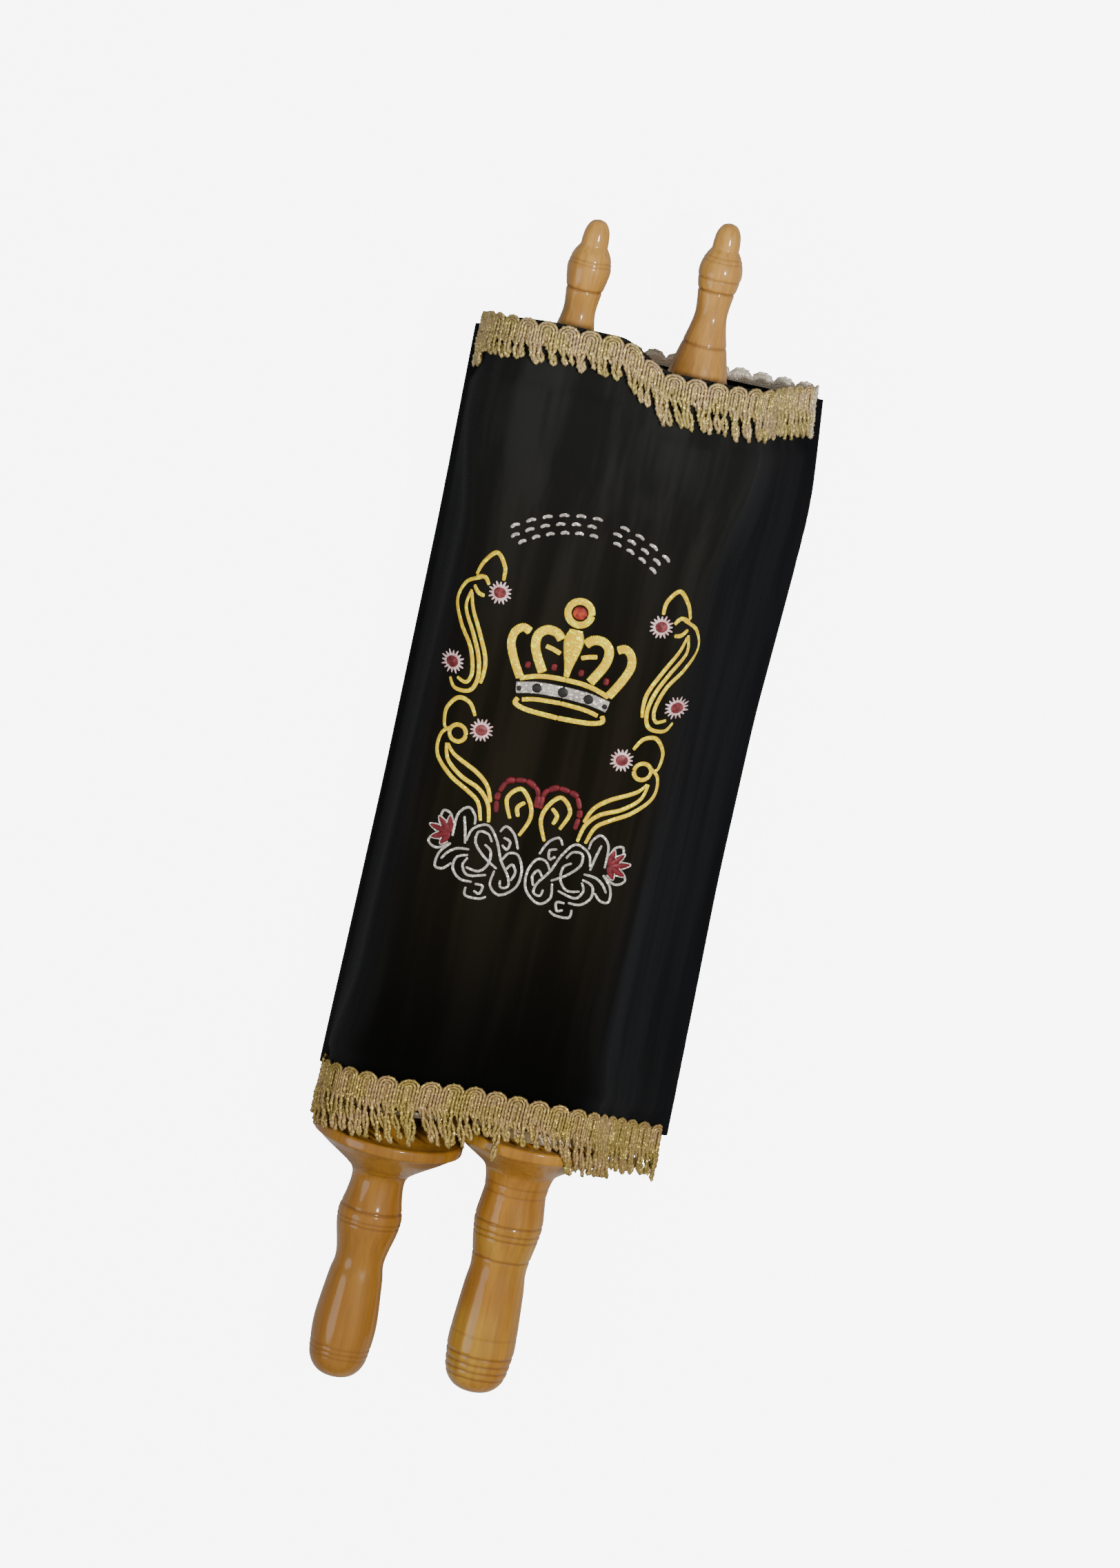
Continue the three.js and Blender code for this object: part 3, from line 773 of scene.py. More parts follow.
def looped_gold(settings):
    """Metallic gimp: darker and yellower towards the lower hem, and made pale with painted light on the back
    of the upper trim.
    """
    material = metal_thread("trim_gold", settings.gold_colour, settings.pink_gold_colour,
                            metallic=0.4, roughness=0.48, glint_share=0.17)
    tree = material.node_tree
    shader = tree.nodes["Principled BSDF"]
    where = tree.nodes.new("ShaderNodeTexCoord").outputs["Object"]
    parts = place(tree, "ShaderNodeSeparateXYZ", Vector=where)
    thread = shader.inputs["Base Color"].links[0].from_socket
    # Darker and yellower gold towards the lower hem
    lower_tinted = place(tree, "ShaderNodeMix", {"data_type": "RGBA", "blend_type": "MULTIPLY"},
                   _0=ramp(tree, parts.outputs["Y"], *GOLD_LOWER_TINT_ALONG), _6=thread,
                   _7=rgba(settings.lower_hem_tint))
    # Painted light: the back of the upper trim, low down, is made pale
    back = math_node(tree, "MULTIPLY", ramp(tree, parts.outputs["Z"], *GOLD_PAINTED_LIGHT_HEIGHT),
                     ramp(tree, parts.outputs["Y"], *GOLD_PAINTED_LIGHT_ALONG))
    toned = blended(tree, back, lower_tinted.outputs[2], rgba(settings.back_painted_light_colour))
    tree.links.new(toned, shader.inputs["Base Color"])
    return material


def soft_thread(name, colour, other_colour):
    """Embroidery thread without metal."""
    material, tree, shader, where = new_material(name, Specular_IOR_Level=0.3)
    tint = use_group(tree, "soft_mottle", Vector=where, Scale=420.0, First=rgba(colour),
                     Second=rgba(other_colour))
    tree.links.new(tint.outputs["Color"], shader.inputs["Base Color"])
    tree.links.new(ramp(tree, tint.outputs["Mask"], 0.0, 1.0, *THREAD_ROUGHNESS), shader.inputs["Roughness"])
    fibres = place(tree, "ShaderNodeTexNoise", Vector=where, Scale=3200.0, Detail=1.0)
    bump_into(tree, shader, fibres.outputs["Fac"], strength=0.3, distance=0.0002)
    return material


# Settings

def colour_property(name, description, default):
    return bpy.props.FloatVectorProperty(
        name=name, description=description, default=default, subtype="COLOR", min=0.0, max=1.0)


def length_property(name, description, default):
    return bpy.props.FloatProperty(
        name=name, description=description, default=default, unit="LENGTH", min=0.0)


def angle_property(name, description, degrees):
    return bpy.props.FloatProperty(
        name=name, description=description, default=math.radians(degrees), subtype="ANGLE")


def share_property(name, description, default):
    return bpy.props.FloatProperty(
        name=name, description=description, default=default, subtype="FACTOR", min=0.0, max=1.0)


def strength_property(name, description, default):
    return bpy.props.FloatProperty(
        name=name, description=description, default=default, subtype="UNSIGNED", min=0.0)


def count_property(name, description, default, least, most):
    return bpy.props.IntProperty(
        name=name, description=description, default=default, subtype="UNSIGNED", min=least, max=most)


class ScrollRollerSettings(bpy.types.PropertyGroup):
    turning_steps: count_property("Turning steps", "Faces round a turned roller", 96, 24, 256)
    wood_colour: colour_property("Wood", "Honey colour of the lacquered wood", (0.46, 0.25, 0.03))
    wood_warm_colour: colour_property("Warm wood", "Redder patches of the wood", (0.38, 0.17, 0.02))
    # A darker colour laid over the left roller towards its grip end
    wood_dark_colour: colour_property("Dark wood", "Browner wood of the left roller", (0.29, 0.125, 0.016))
    wood_pale_colour: colour_property("Pale wood", "Paler wood of the finials", (0.7, 0.36, 0.1))
    wood_grain_colour: colour_property("Grain", "Dark streaks of the grain", (0.15, 0.055, 0.008))
    # A darker colour laid in the turner's grooves
    wood_groove_colour: colour_property("Grooves", "Stain that gathers in the grooves", (0.12, 0.042, 0.008))
    lacquer: share_property("Lacquer", "Weight of the clear lacquer", 0.55)


class ScrollParchmentSettings(bpy.types.PropertyGroup):
    sheet_colour: colour_property("Sheet", "Cream of the parchment", (0.78, 0.68, 0.48))
    sheet_aged_colour: colour_property("Aged sheet", "Browner patches of the parchment", (0.6, 0.46, 0.26))


class ScrollMantleSettings(bpy.types.PropertyGroup):
    cloth_thickness: length_property("Cloth", "Thickness of the velvet", CLOTH_THICKNESS * MM)
    columns: count_property("Columns", "Faces round the mantle", 220, 60, 400)
    rows: count_property("Rows", "Faces from hem to hem", 170, 40, 400)
    velvet_colour: colour_property("Velvet", "Black of the pile by the lower hem", (0.0010, 0.0010, 0.0009))
    # Painted light on the pile: a warm light in the middle, a grey sheen by the upper hem and light down the
    # sides
    velvet_painted_light_colour: colour_property("Warm velvet", "Browner pile in the middle", (0.0095, 0.0078, 0.0046))
    velvet_painted_sheen_colour: colour_property(
        "Grey velvet", "Greyer pile by the upper hem", (0.0135, 0.0136, 0.0125))
    velvet_painted_side_light_colour: colour_property("Side velvet", "Pile down the sides", (0.0064, 0.0066, 0.0074))
    sheen: share_property("Sheen", "How much the pile lights up at its edges", 0.03)


class ScrollTrimSettings(bpy.types.PropertyGroup):
    cord_diameter: length_property("Cord", "Diameter of the heading's cords", 1.35 * MM)
    loop_diameter: length_property("Loop cord", "Diameter of the cord in the loops", 1.7 * MM)
    gold_colour: colour_property("Gold", "Olive gold of the trim", (0.38, 0.3, 0.1))
    pink_gold_colour: colour_property("Pink gold", "Pinker threads of the trim", (0.45, 0.32, 0.18))
    # Tint that makes the gold darker and yellower by the lower hem
    lower_hem_tint: colour_property("Dull tint", "What dulls the gold by the lower hem", (0.78, 0.72, 0.56))
    # Painted light that makes the back of the upper trim pale
    back_painted_light_colour: colour_property("Back", "Pale gold of the trim's back", (0.74, 0.68, 0.56))


class ScrollStitchSettings(bpy.types.PropertyGroup):
    stitch_length: length_property("Stitch", "Length of cover of one stitch", 0.55 * MM)
    gold_colour: colour_property("Gold thread", "Yellow gold of the crown and vines", (0.86, 0.58, 0.02))
    deep_gold_colour: colour_property("Deep gold thread", "Browner gold threads", (0.74, 0.47, 0.015))
    silver_colour: colour_property("Silver thread", "Silver of the scrolls", (0.46, 0.42, 0.37))
    dull_silver_colour: colour_property("Dull silver thread", "Duller silver threads", (0.34, 0.3, 0.27))
    red_colour: colour_property("Red thread", "Deep red of the petals", (0.17, 0.009, 0.015))
    wine_colour: colour_property("Wine thread", "Darker red threads", (0.1, 0.005, 0.009))
    heart_colour: colour_property("Heart thread", "Dusty rose of the flowers' hearts", (0.24, 0.05, 0.05))
    orange_colour: colour_property("Orange thread", "Orange-red of the crown's ball", (0.5, 0.06, 0.012))
    pale_colour: colour_property("Pale thread", "Pale pink of the flowers", (0.8, 0.62, 0.6))
    rose_colour: colour_property("Rose thread", "Rosier threads of the flowers", (0.62, 0.34, 0.34))
    dark_colour: colour_property("Dark thread", "Dark stones and lining of the crown", (0.012, 0.009, 0.009))


class ScrollStageSettings(bpy.types.PropertyGroup):
    floor_colour: colour_property("Floor", "Grey that the floor throws back on the scroll", (0.5, 0.5, 0.49))
    glow: strength_property("Glow", "How white the camera sees the floor and the sky", 7.0)
    floor_size: length_property("Floor size", "Length of the floor's side", 6.0)
    camera_distance: length_property("Camera distance", "From the camera to the front of the scroll", 2.6)
    view_height: length_property("View height", "Height of the picture at the front of the scroll", 0.573)
    camera_tilt: angle_property("Camera tilt", "From straight above, towards the finials", 11.5)
    camera_roll: angle_property("Camera roll", "How far the scroll leans clockwise in the picture", 12.2)
    key_power: bpy.props.FloatProperty(
        name="Key light", description="Power of the light above", default=48.0, min=0.0, unit="POWER")
    sky_strength: strength_property("Sky", "Strength of the soft light overhead", 0.6)
    horizon_strength: strength_property("Horizon", "Strength of the soft light from the sides", 0.12)


# Piece makers

def spun(bm, outline, steps):
    """Turns an outline once round the Y axis."""
    bmesh.ops.spin(bm, geom=outline, cent=(0, 0, 0), axis=(0, 1, 0), angle=2 * math.pi, steps=steps,
                   use_merge=True)


def turned_roller(roller, settings):
    bm = bmesh.new()
    groove = bm.verts.layers.float.new("groove")
    outline = []
    for radius, along in roller_outline(roller):
        cut = groove_cut(roller, along) if radius > SHAFT_RADIUS / 2 or along > roller.disc_at else 0.0
        vert = bm.verts.new((max(radius - cut, 0.0), along, 0))
        vert[groove] = min(cut / GROOVE_FULLY_DARK, 1.0)
        outline.append(vert)
    edges = [bm.edges.new(pair) for pair in zip(outline, outline[1:])]
    spun(bm, outline + edges, settings.turning_steps)
    weld(bm, CLOSE)
    bmesh.ops.transform(bm, matrix=rolled(roller), verts=bm.verts)
    wood = lacquered_wood(roller.node + "_wood", roller.darker, settings)
    piece = finished(roller.node + "_turned", bm, wood)
    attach(piece, BODY)
    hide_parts(roller.node)


class SCROLL_OT_turn_rollers(bpy.types.Operator):
    """Turns both rollers, each from one piece of wood, with their grips, discs, shafts and finials"""

    bl_idname = "scroll.turn_rollers"
    bl_label = "Turn rollers"

    def execute(self, context):
        for roller in ROLLERS:
            turned_roller(roller, context.scene.scroll_rollers)
        return {"FINISHED"}


def wound_coil(bm, roller):
    outline = [bm.verts.new((radius, along, 0)) for radius, along in coil_outline(roller)]
    edges = [bm.edges.new(pair) for pair in zip(outline, outline[1:] + outline[:1])]
    before = set(bm.verts) - set(outline)
    spun(bm, outline + edges, COIL_STEPS)
    coil = [vert for vert in bm.verts if vert not in before]
    bmesh.ops.transform(bm, matrix=rolled(roller), verts=coil)


class SCROLL_OT_wind_parchment(bpy.types.Operator):
    """Winds the parchment from both rollers, with the stretch of sheet between the coils"""

    bl_idname = "scroll.wind_parchment"
    bl_label = "Wind parchment"

    def execute(self, context):
        bm = bmesh.new()
        for roller in ROLLERS:
            wound_coil(bm, roller)
        crossing = bmesh.ops.create_grid(bm, x_segments=12, y_segments=40, size=0.5)["verts"]
        for vert in crossing:
            y = mix(along_scroll(PARCHMENT_BOTTOM), along_scroll(PARCHMENT_TOP), vert.co.y + 0.5)
            x = mix(LEFT_ROLLER.axis_x(y), RIGHT_ROLLER.axis_x(y), vert.co.x + 0.5)
            bow = 0.4 * math.cos(vert.co.x * math.pi)
            vert.co = (x, y, axis_height(y) - COIL_RADIUS + 0.3 + bow)
        faces = list({face for vert in crossing for face in vert.link_faces})
        bmesh.ops.solidify(bm, geom=faces, thickness=SHEET_THICKNESS)
        bmesh.ops.recalc_face_normals(bm, faces=bm.faces)
        piece = finished("parchment_roll", bm, parchment_sheet(context.scene.scroll_parchment))
        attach(piece, BODY)
        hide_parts("parchment")
        return {"FINISHED"}


class SCROLL_OT_sew_mantle(bpy.types.Operator):
    """Wraps the flat velvet round the rolls and sews it into a sleeve"""

    bl_idname = "scroll.sew_mantle"
    bl_label = "Sew mantle"

    def execute(self, context):
        settings = context.scene.scroll_mantle
        bm = bmesh.new()
        bm.loops.layers.uv.new("UVMap")
        bmesh.ops.create_grid(bm, x_segments=settings.columns, y_segments=settings.rows, size=0.5,
                              calc_uvs=True)
        for vert in bm.verts:
            share = vert.co.x + 0.5
            y = mix(bottom_hem(share), hem_at(share, TOP_HEM), vert.co.y + 0.5)
            vert.co = belt_point(y, share, cloth_inset(share, y))
        weld(bm, SEAM_CLOSE)
        piece = finished("mantle_velvet", bm, pile_velvet(settings))
        wall = piece.modifiers.new("Cloth thickness", "SOLIDIFY")
        wall.thickness = settings.cloth_thickness
        wall.offset = -1.0
        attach(piece, BODY)
        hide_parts("mantle")
        return {"FINISHED"}


# Trim

SCALLOP_COUNT = 42
SCALLOP_DEPTH = 1.6
TRIM_INSET = TRIM_LIFT + TRIM_THICKNESS / 2
BAND_INSET = TRIM_INSET + 0.35
BAND_THICKNESS = 0.5
BAND_BELOW_EDGE = 0.9
CORD_STRANDS = 3
CORD_SIDES = 6
STRAND_DENT = 0.3
LOWEST_CORD = 0.55
ARCH_HALVES = (3.35, 2.2, 1.05)
ARCH_NESTING = 0.85
ARCH_RISE = 0.8
ARCH_BELOW_EDGE = 0.7
ARCH_BENDS_AT = 0.55
ARCH_STEPS = 8
TWIST_PER_MM = 1.0
CORD_STEP = 0.5
NUB_LENGTH = 1.3
NUB_DEPTH = 0.24
LOOPS_PER_SCALLOP = 3.0
TUCKED_UNDER = 1.8
SIDE_STARTS_AT = 36.0
TOP_DEPTHS = (15.4, 19.6)
TOP_DEEPENS = (-10.0, 6.0)
TOP_BACK_DEPTH = 20.0
BOTTOM_DEPTHS = (24.8, 20.5)
BOTTOM_SHORTENS = (42.0, 48.0)
BETWEEN_ROLLS_DEPTH = 18.0
BETWEEN_ROLLS_FROM = (-12.0, -7.0)
BETWEEN_ROLLS_TO = (22.0, 27.0)
BOTTOM_BACK_DEPTH = 21.5


@dataclass(frozen=True)
class Trim:
    """A looped trim: its upper edge, the depth of its heading and how deep it hangs at a place across."""

    name: str
    node: str
    edge: HemLevels
    heading: float
    depth: object
    seed: int

    def edge_at(self, share):
        return hem_at(share, self.edge)


def top_depth(x, z):
    """The whole depth of the upper trim: its loops are short on the left of the front."""
    return mix(*TOP_DEPTHS, ease(x, *TOP_DEEPENS)) if z > SIDE_STARTS_AT else TOP_BACK_DEPTH


def bottom_depth(x, z):
    """The whole depth of the lower trim: its loops are short between the rolls."""
    if z < SIDE_STARTS_AT:
        return BOTTOM_BACK_DEPTH
    between = ease(x, *BETWEEN_ROLLS_FROM) * (1 - ease(x, *BETWEEN_ROLLS_TO))
    return mix(mix(*BOTTOM_DEPTHS, ease(x, *BOTTOM_SHORTENS)), BETWEEN_ROLLS_DEPTH, between)


TRIMS = (
    Trim("trim_top", "fringe_top", TOP_TRIM_EDGE, heading=9.5, depth=top_depth, seed=5),
    Trim("trim_bottom", "fringe_bottom", BOTTOM_TRIM_EDGE, heading=11.5, depth=bottom_depth, seed=8),
)
LONG_LOOP_X = 4.0
LONG_LOOP_DEPTH = 26.0


def trim_place(trim, share, across, down, inset):
    """A place on a trim: millimetres across from a share of the way round, and down from its edge."""
    moved = share - across / BELT_LENGTH
    spot = belt_point(trim.edge_at(moved) - down, moved, inset)
    spot += Vector((-math.copysign(1.0, spot.x), 0, 0)) * near_seam(spot)
    spot.z = max(spot.z, LOWEST_CORD)
    return spot


def nubbly(places, radius, dice):
    """A cord's path, its strands twisting and its thickness swelling and shrinking along it."""
    path = []
    run = dice.uniform(0, 6)
    for i, spot in enumerate(places):
        run += (spot - places[i - 1]).length if i else 0.0
        swell = 1 + NUB_DEPTH * math.sin(run * 2 * math.pi / NUB_LENGTH) * math.sin(run * 0.9)
        path.append((spot, radius * swell, run * TWIST_PER_MM))
    return path


def heading_cords(trim, radius, dice):
    """The heading: in each scallop, cords that rise, bow over and go down again, one inside the other."""
    paths = []
    for scallop in range(SCALLOP_COUNT):
        share = (scallop + 0.5) / SCALLOP_COUNT
        for half in ARCH_HALVES:
            crown = (ARCH_HALVES[0] - half) * ARCH_NESTING
            reach = [trim.heading + dice.uniform(-0.4, 1.0) for _ in range(2)]
            bend = dice.uniform(-0.3, 0.3)
            bends_at = trim.heading * ARCH_BENDS_AT
            route = [(-half + bend, reach[0]), (-half, bends_at)]
            for i in range(ARCH_STEPS + 1):
                angle = math.pi * i / ARCH_STEPS
                down = crown + half * ARCH_RISE * (1 - math.sin(angle)) + ARCH_BELOW_EDGE
                route.append((-half * math.cos(angle), down))
            route += [(half, bends_at), (half + bend, reach[1])]
            inset = TRIM_INSET - 0.2 + dice.uniform(-0.2, 0.2)
            line = evenly_spaced(smooth_line(route, 4), CORD_STEP)
            paths.append(nubbly([trim_place(trim, share, across, down, inset) for across, down in line],
                                radius, dice))
    return paths


def loop_cord(trim, share, depth, lean, radius, dice):
    """One hanging loop: a cord that goes down and comes back twisted round itself."""
    start = trim.heading - TUCKED_UNDER
    length = depth - start
    turns = length / dice.uniform(6.0, 9.0)
    spread = radius * dice.uniform(0.85, 1.15)
    steps = max(8, round(length / CORD_STEP))
    places = []
    for i in range(2 * steps + 1):
        down = 1 - abs(i / steps - 1)
        reach = down ** 0.8 * length
        away = spread * math.sqrt(max(1 - down ** 6, 0.0)) * (1 if i < steps else -1)
        angle = math.pi * turns * down
        across = lean * reach + away * math.cos(angle)
        inset = TRIM_INSET - 0.1 - away * math.sin(angle) * 0.6
        places.append(trim_place(trim, share, across, start + reach, inset))
    return nubbly(places, radius, dice)


def hanging_loops(trim, radius, dice):
    """Loops side by side, some close together and some apart."""
    paths = []
    count = round(SCALLOP_COUNT * LOOPS_PER_SCALLOP)
    for i in range(count):
        share = (i + 0.5 + dice.uniform(-0.3, 0.3)) / count
        spot = belt_point(trim.edge_at(share), share)
        depth = trim.depth(spot.x, spot.z) + dice.uniform(-1.8, 0.8)
        paths.append(loop_cord(trim, share, depth, dice.uniform(0.2, 0.6), radius, dice))
    return paths


def share_at_front(trim, x):
    """The share of the way round at which the front of a trim passes a place across."""
    shares = [i / 1000 for i in range(1000)]
    spots = {share: belt_point(trim.edge_at(share), share) for share in shares}
    fronts = [share for share in shares if spots[share].z > FRONT_STARTS_AT]
    return min(fronts, key=lambda share: abs(spots[share].x - x))


def heading_band(trim):
    """The woven band that the cords of a heading are sewn to, as a bmesh wall."""
    bm = bmesh.new()
    bmesh.ops.create_grid(bm, x_segments=SCALLOP_COUNT * 8, y_segments=5, size=0.5)
    for vert in bm.verts:
        share = vert.co.x + 0.5
        phase = (share * SCALLOP_COUNT) % 1.0
        upper = BAND_BELOW_EDGE + SCALLOP_DEPTH * abs(2 * phase - 1) ** 2.5
        down = mix(trim.heading, upper, vert.co.y + 0.5)
        vert.co = trim_place(trim, share, 0, down, BAND_INSET)
    weld(bm, SEAM_CLOSE)
    bmesh.ops.solidify(bm, geom=bm.faces, thickness=BAND_THICKNESS)
    return bm


def sewn_trim(trim, settings, gold):
    dice = random.Random(trim.seed)
    loop_radius = settings.loop_diameter / MM / 2
    paths = heading_cords(trim, settings.cord_diameter / MM / 2, dice)
    paths += hanging_loops(trim, loop_radius, dice)
    if trim.node == "fringe_bottom":
        share = share_at_front(trim, LONG_LOOP_X)
        paths.append(loop_cord(trim, share, LONG_LOOP_DEPTH, 0.0, loop_radius, dice))
    section = cord_section(trim.name + "_section", CORD_STRANDS, STRAND_DENT, CORD_SIDES)
    piece = swept(trim.name, paths, section, gold)
    bm = heading_band(trim)
    bmesh.ops.scale(bm, vec=(MM, MM, MM), verts=bm.verts)
    bm.from_mesh(piece.data)
    for face in bm.faces:
        face.smooth = True
    bm.to_mesh(piece.data)
    bm.free()
    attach(piece, BODY)
    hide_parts(trim.node)


class SCROLL_OT_sew_trims(bpy.types.Operator):
    """Sews looped gold trim round the top and the bottom hem"""

    bl_idname = "scroll.sew_trims"
    bl_label = "Sew trims"

    def execute(self, context):
        settings = context.scene.scroll_trim
        gold = looped_gold(settings)
        for trim in TRIMS:
            sewn_trim(trim, settings, gold)
        return {"FINISHED"}


# Embroidery: places are millimetres across from its middle line and lengths from STITCH_START. Each stroke
# is sewn on the left as listed and once more mirrored on the right.

SIDES = (1, -1)
STITCH_MIDDLE = -7.1
STITCH_START = 13.5
LINE_WIDTH = 1.9
SCROLL_WIDTH = 1.15
CROWN_BAND_WIDTH = 5.0
PETAL_WIDTH = 2.7
JEWEL_REACH = 1.3
DASH_WIDTH = 1.5
DASH_TURN = 7.2
RED_DASH_WIDTHS = (2.2, 2.6)
HEART_RADIUS = 2.3
FLOWER_RING = (2.5, 0.9)
FLOWER_RAYS = (1.9, 4.5, 16, 1.5)

CROWN_BARS = (
    (4.0, [(-8.8, 271.0), (-12.9, 278.7), (-13.3, 284.0), (-10.6, 286.8), (-6.8, 286.6), (-4.4, 284.4)]),
    (3.6, [(-16.4, 267.4), (-19.9, 273.6), (-22.2, 279.5), (-21.6, 283.9), (-19.0, 286.0), (-16.2, 284.9)]),
    (2.0, [(-9.6, 280.9), (-6.5, 280.2), (-3.8, 279.2)]),
    (2.1, [(-16.6, 267.2), (-11.3, 269.0), (-6.0, 269.9), (0.0, 270.1)]),
    (1.9, [(-14.2, 259.6), (-9.0, 260.7), (0.0, 261.2)]),
    (2.1, [(-15.6, 260.0), (-16.2, 257.8), (-11.3, 256.2), (0.0, 255.6)]),
)
CROWN_MIDDLE_WIDTHS = (5.6, 8.2, 2.4)
CROWN_MIDDLE_WIDEST = 0.22
CROWN_MIDDLE = [(0, 289.2), (0, 280.0), (0, 271.2)]
CROWN_BAND = [(-17.2, 263.6), (-9.6, 265.0), (0.0, 265.4)]
CROWN_BALL = (0.0, 295.4)
CROWN_BALL_RADIUS = 2.7
CROWN_BALL_RING = (4.4, 3.0)
JEWELS = ((-14.6, 272.8), (-5.0, 273.9))
STONES = ((-16.0, 263.6, 2.0), (-9.6, 264.9, 3.7), (0.0, 265.4, 3.9))
VINES = (
    [(-29.7, 301.3), (-30.2, 306.4), (-34.0, 310.8), (-38.0, 306.2), (-39.8, 300.8)],
    [(-39.8, 300.0), (-36.5, 300.8), (-34.5, 298.4)],
    [(-39.8, 296.9), (-37.8, 294.6), (-35.3, 294.1)],
    [(-37.8, 300.3), (-42.8, 297.0), (-44.8, 289.7), (-41.6, 281.8), (-36.5, 274.4), (-34.0, 266.0),
     (-35.3, 261.5), (-39.0, 262.3)],
    [(-40.3, 294.9), (-41.1, 288.0), (-36.5, 279.5), (-32.8, 271.6), (-31.5, 264.1), (-33.4, 258.9),
     (-39.0, 258.2), (-41.6, 261.5)],
    [(-40.1, 294.1), (-38.5, 288.5), (-34.0, 280.0), (-30.4, 272.2), (-29.7, 266.7), (-30.2, 262.3)],
    [(-29.5, 250.0), (-32.4, 254.4), (-37.0, 255.1), (-40.4, 250.0), (-40.1, 244.4), (-39.0, 242.8)],
    [(-36.5, 244.4), (-40.4, 240.4), (-40.3, 232.8), (-34.0, 226.4), (-26.6, 222.3), (-21.9, 218.7),
     (-19.6, 212.1)],
    [(-37.8, 237.7), (-36.0, 231.9), (-30.2, 227.2), (-22.7, 223.8), (-18.2, 218.7), (-16.6, 212.1)],
    [(-37.3, 237.7), (-34.0, 234.3), (-25.2, 230.0), (-20.0, 225.6), (-17.4, 219.7)],
    [(-9.3, 215.1), (-11.8, 222.3), (-7.6, 226.9), (-3.3, 222.6), (-2.0, 216.7), (-4.8, 209.5)],
    [(-5.0, 222.3), (-7.4, 219.8), (-6.5, 216.4)],
)
VINE_CURL = (-34.5, 242.3, 3.1)
FLOWERS = ((-30.0, 296.7), (-41.8, 267.2), (-26.2, 245.4))
RED_ARCH = [(-14.7, 216.6), (-15.4, 221.8), (-14.6, 225.6), (-12.2, 229.2), (-8.2, 230.1), (-2.9, 229.3),
            (-1.0, 226.2), (-0.6, 221.6)]
RED_DASHES = 8
SCROLLS = (
    [(-28.5, 204.4), (-28.2, 212.8), (-24.8, 216.3), (-21.9, 213.6), (-21.4, 210.3)],
    [(-25.7, 212.8), (-24.4, 207.7), (-23.4, 202.6)],
    [(-28.5, 201.8), (-32.0, 197.4), (-32.6, 192.2), (-29.6, 191.9), (-26.8, 194.6)],
    [(-31.0, 195.2), (-29.0, 198.2), (-25.9, 200.3), (-21.4, 200.8)],
    [(-23.2, 203.8), (-21.6, 208.8), (-16.4, 211.0), (-12.2, 206.0), (-9.3, 199.2), (-5.4, 193.4),
     (-4.9, 189.9), (-7.4, 189.2), (-8.1, 191.8)],
    [(-10.1, 195.6), (-15.4, 199.0), (-19.6, 203.6), (-19.4, 207.9), (-15.9, 207.9), (-13.9, 205.1)],
    [(-16.4, 203.8), (-13.6, 201.6), (-13.6, 196.7), (-16.6, 193.4), (-21.4, 194.1)],
    [(-21.4, 198.7), (-25.4, 197.0), (-25.9, 192.6), (-22.6, 189.3), (-18.0, 189.0)],
    [(-21.4, 197.7), (-22.6, 194.4), (-20.0, 191.2), (-13.4, 192.6)],
    [(-9.3, 198.7), (-7.0, 202.3), (-3.4, 202.2), (-1.0, 196.7), (-2.0, 190.2), (-7.3, 186.2),
     (-11.3, 189.2), (-10.8, 194.9)],
    [(-6.8, 196.2), (-4.9, 198.4), (-3.2, 195.8), (-4.3, 192.3)],
    [(-11.8, 209.5), (-9.8, 212.0), (-6.3, 209.5), (-4.0, 204.4)],
    [(-10.1, 207.7), (-7.4, 206.6), (-8.0, 203.5), (-10.1, 204.9)],
    [(-19.9, 186.8), (-19.4, 183.6), (-14.4, 183.3), (-11.8, 184.6)],
    [(-16.9, 188.5), (-13.9, 188.2), (-14.6, 185.2), (-16.8, 185.9)],
    [(-34.5, 208.5), (-33.6, 213.0), (-30.9, 212.6), (-29.5, 210.0)],
    [(-35.3, 203.8), (-36.8, 200.6), (-33.4, 198.9), (-28.5, 201.8)],
)
LOTUS_CENTRE = (-29.6, 205.4)
LOTUS_PETALS = ((100, 6.6), (135, 7.4), (170, 8.2), (205, 7.4), (240, 5.6))
INSCRIPTION_CENTRE = (-1.8, 282.0)
INSCRIPTION_RADIUS = 45.5
INSCRIPTION_ROWS = (-3.3, 0.0, 3.3)
INSCRIPTION_GROUPS = ((-39.0, 4.0), (9.0, 38.0))


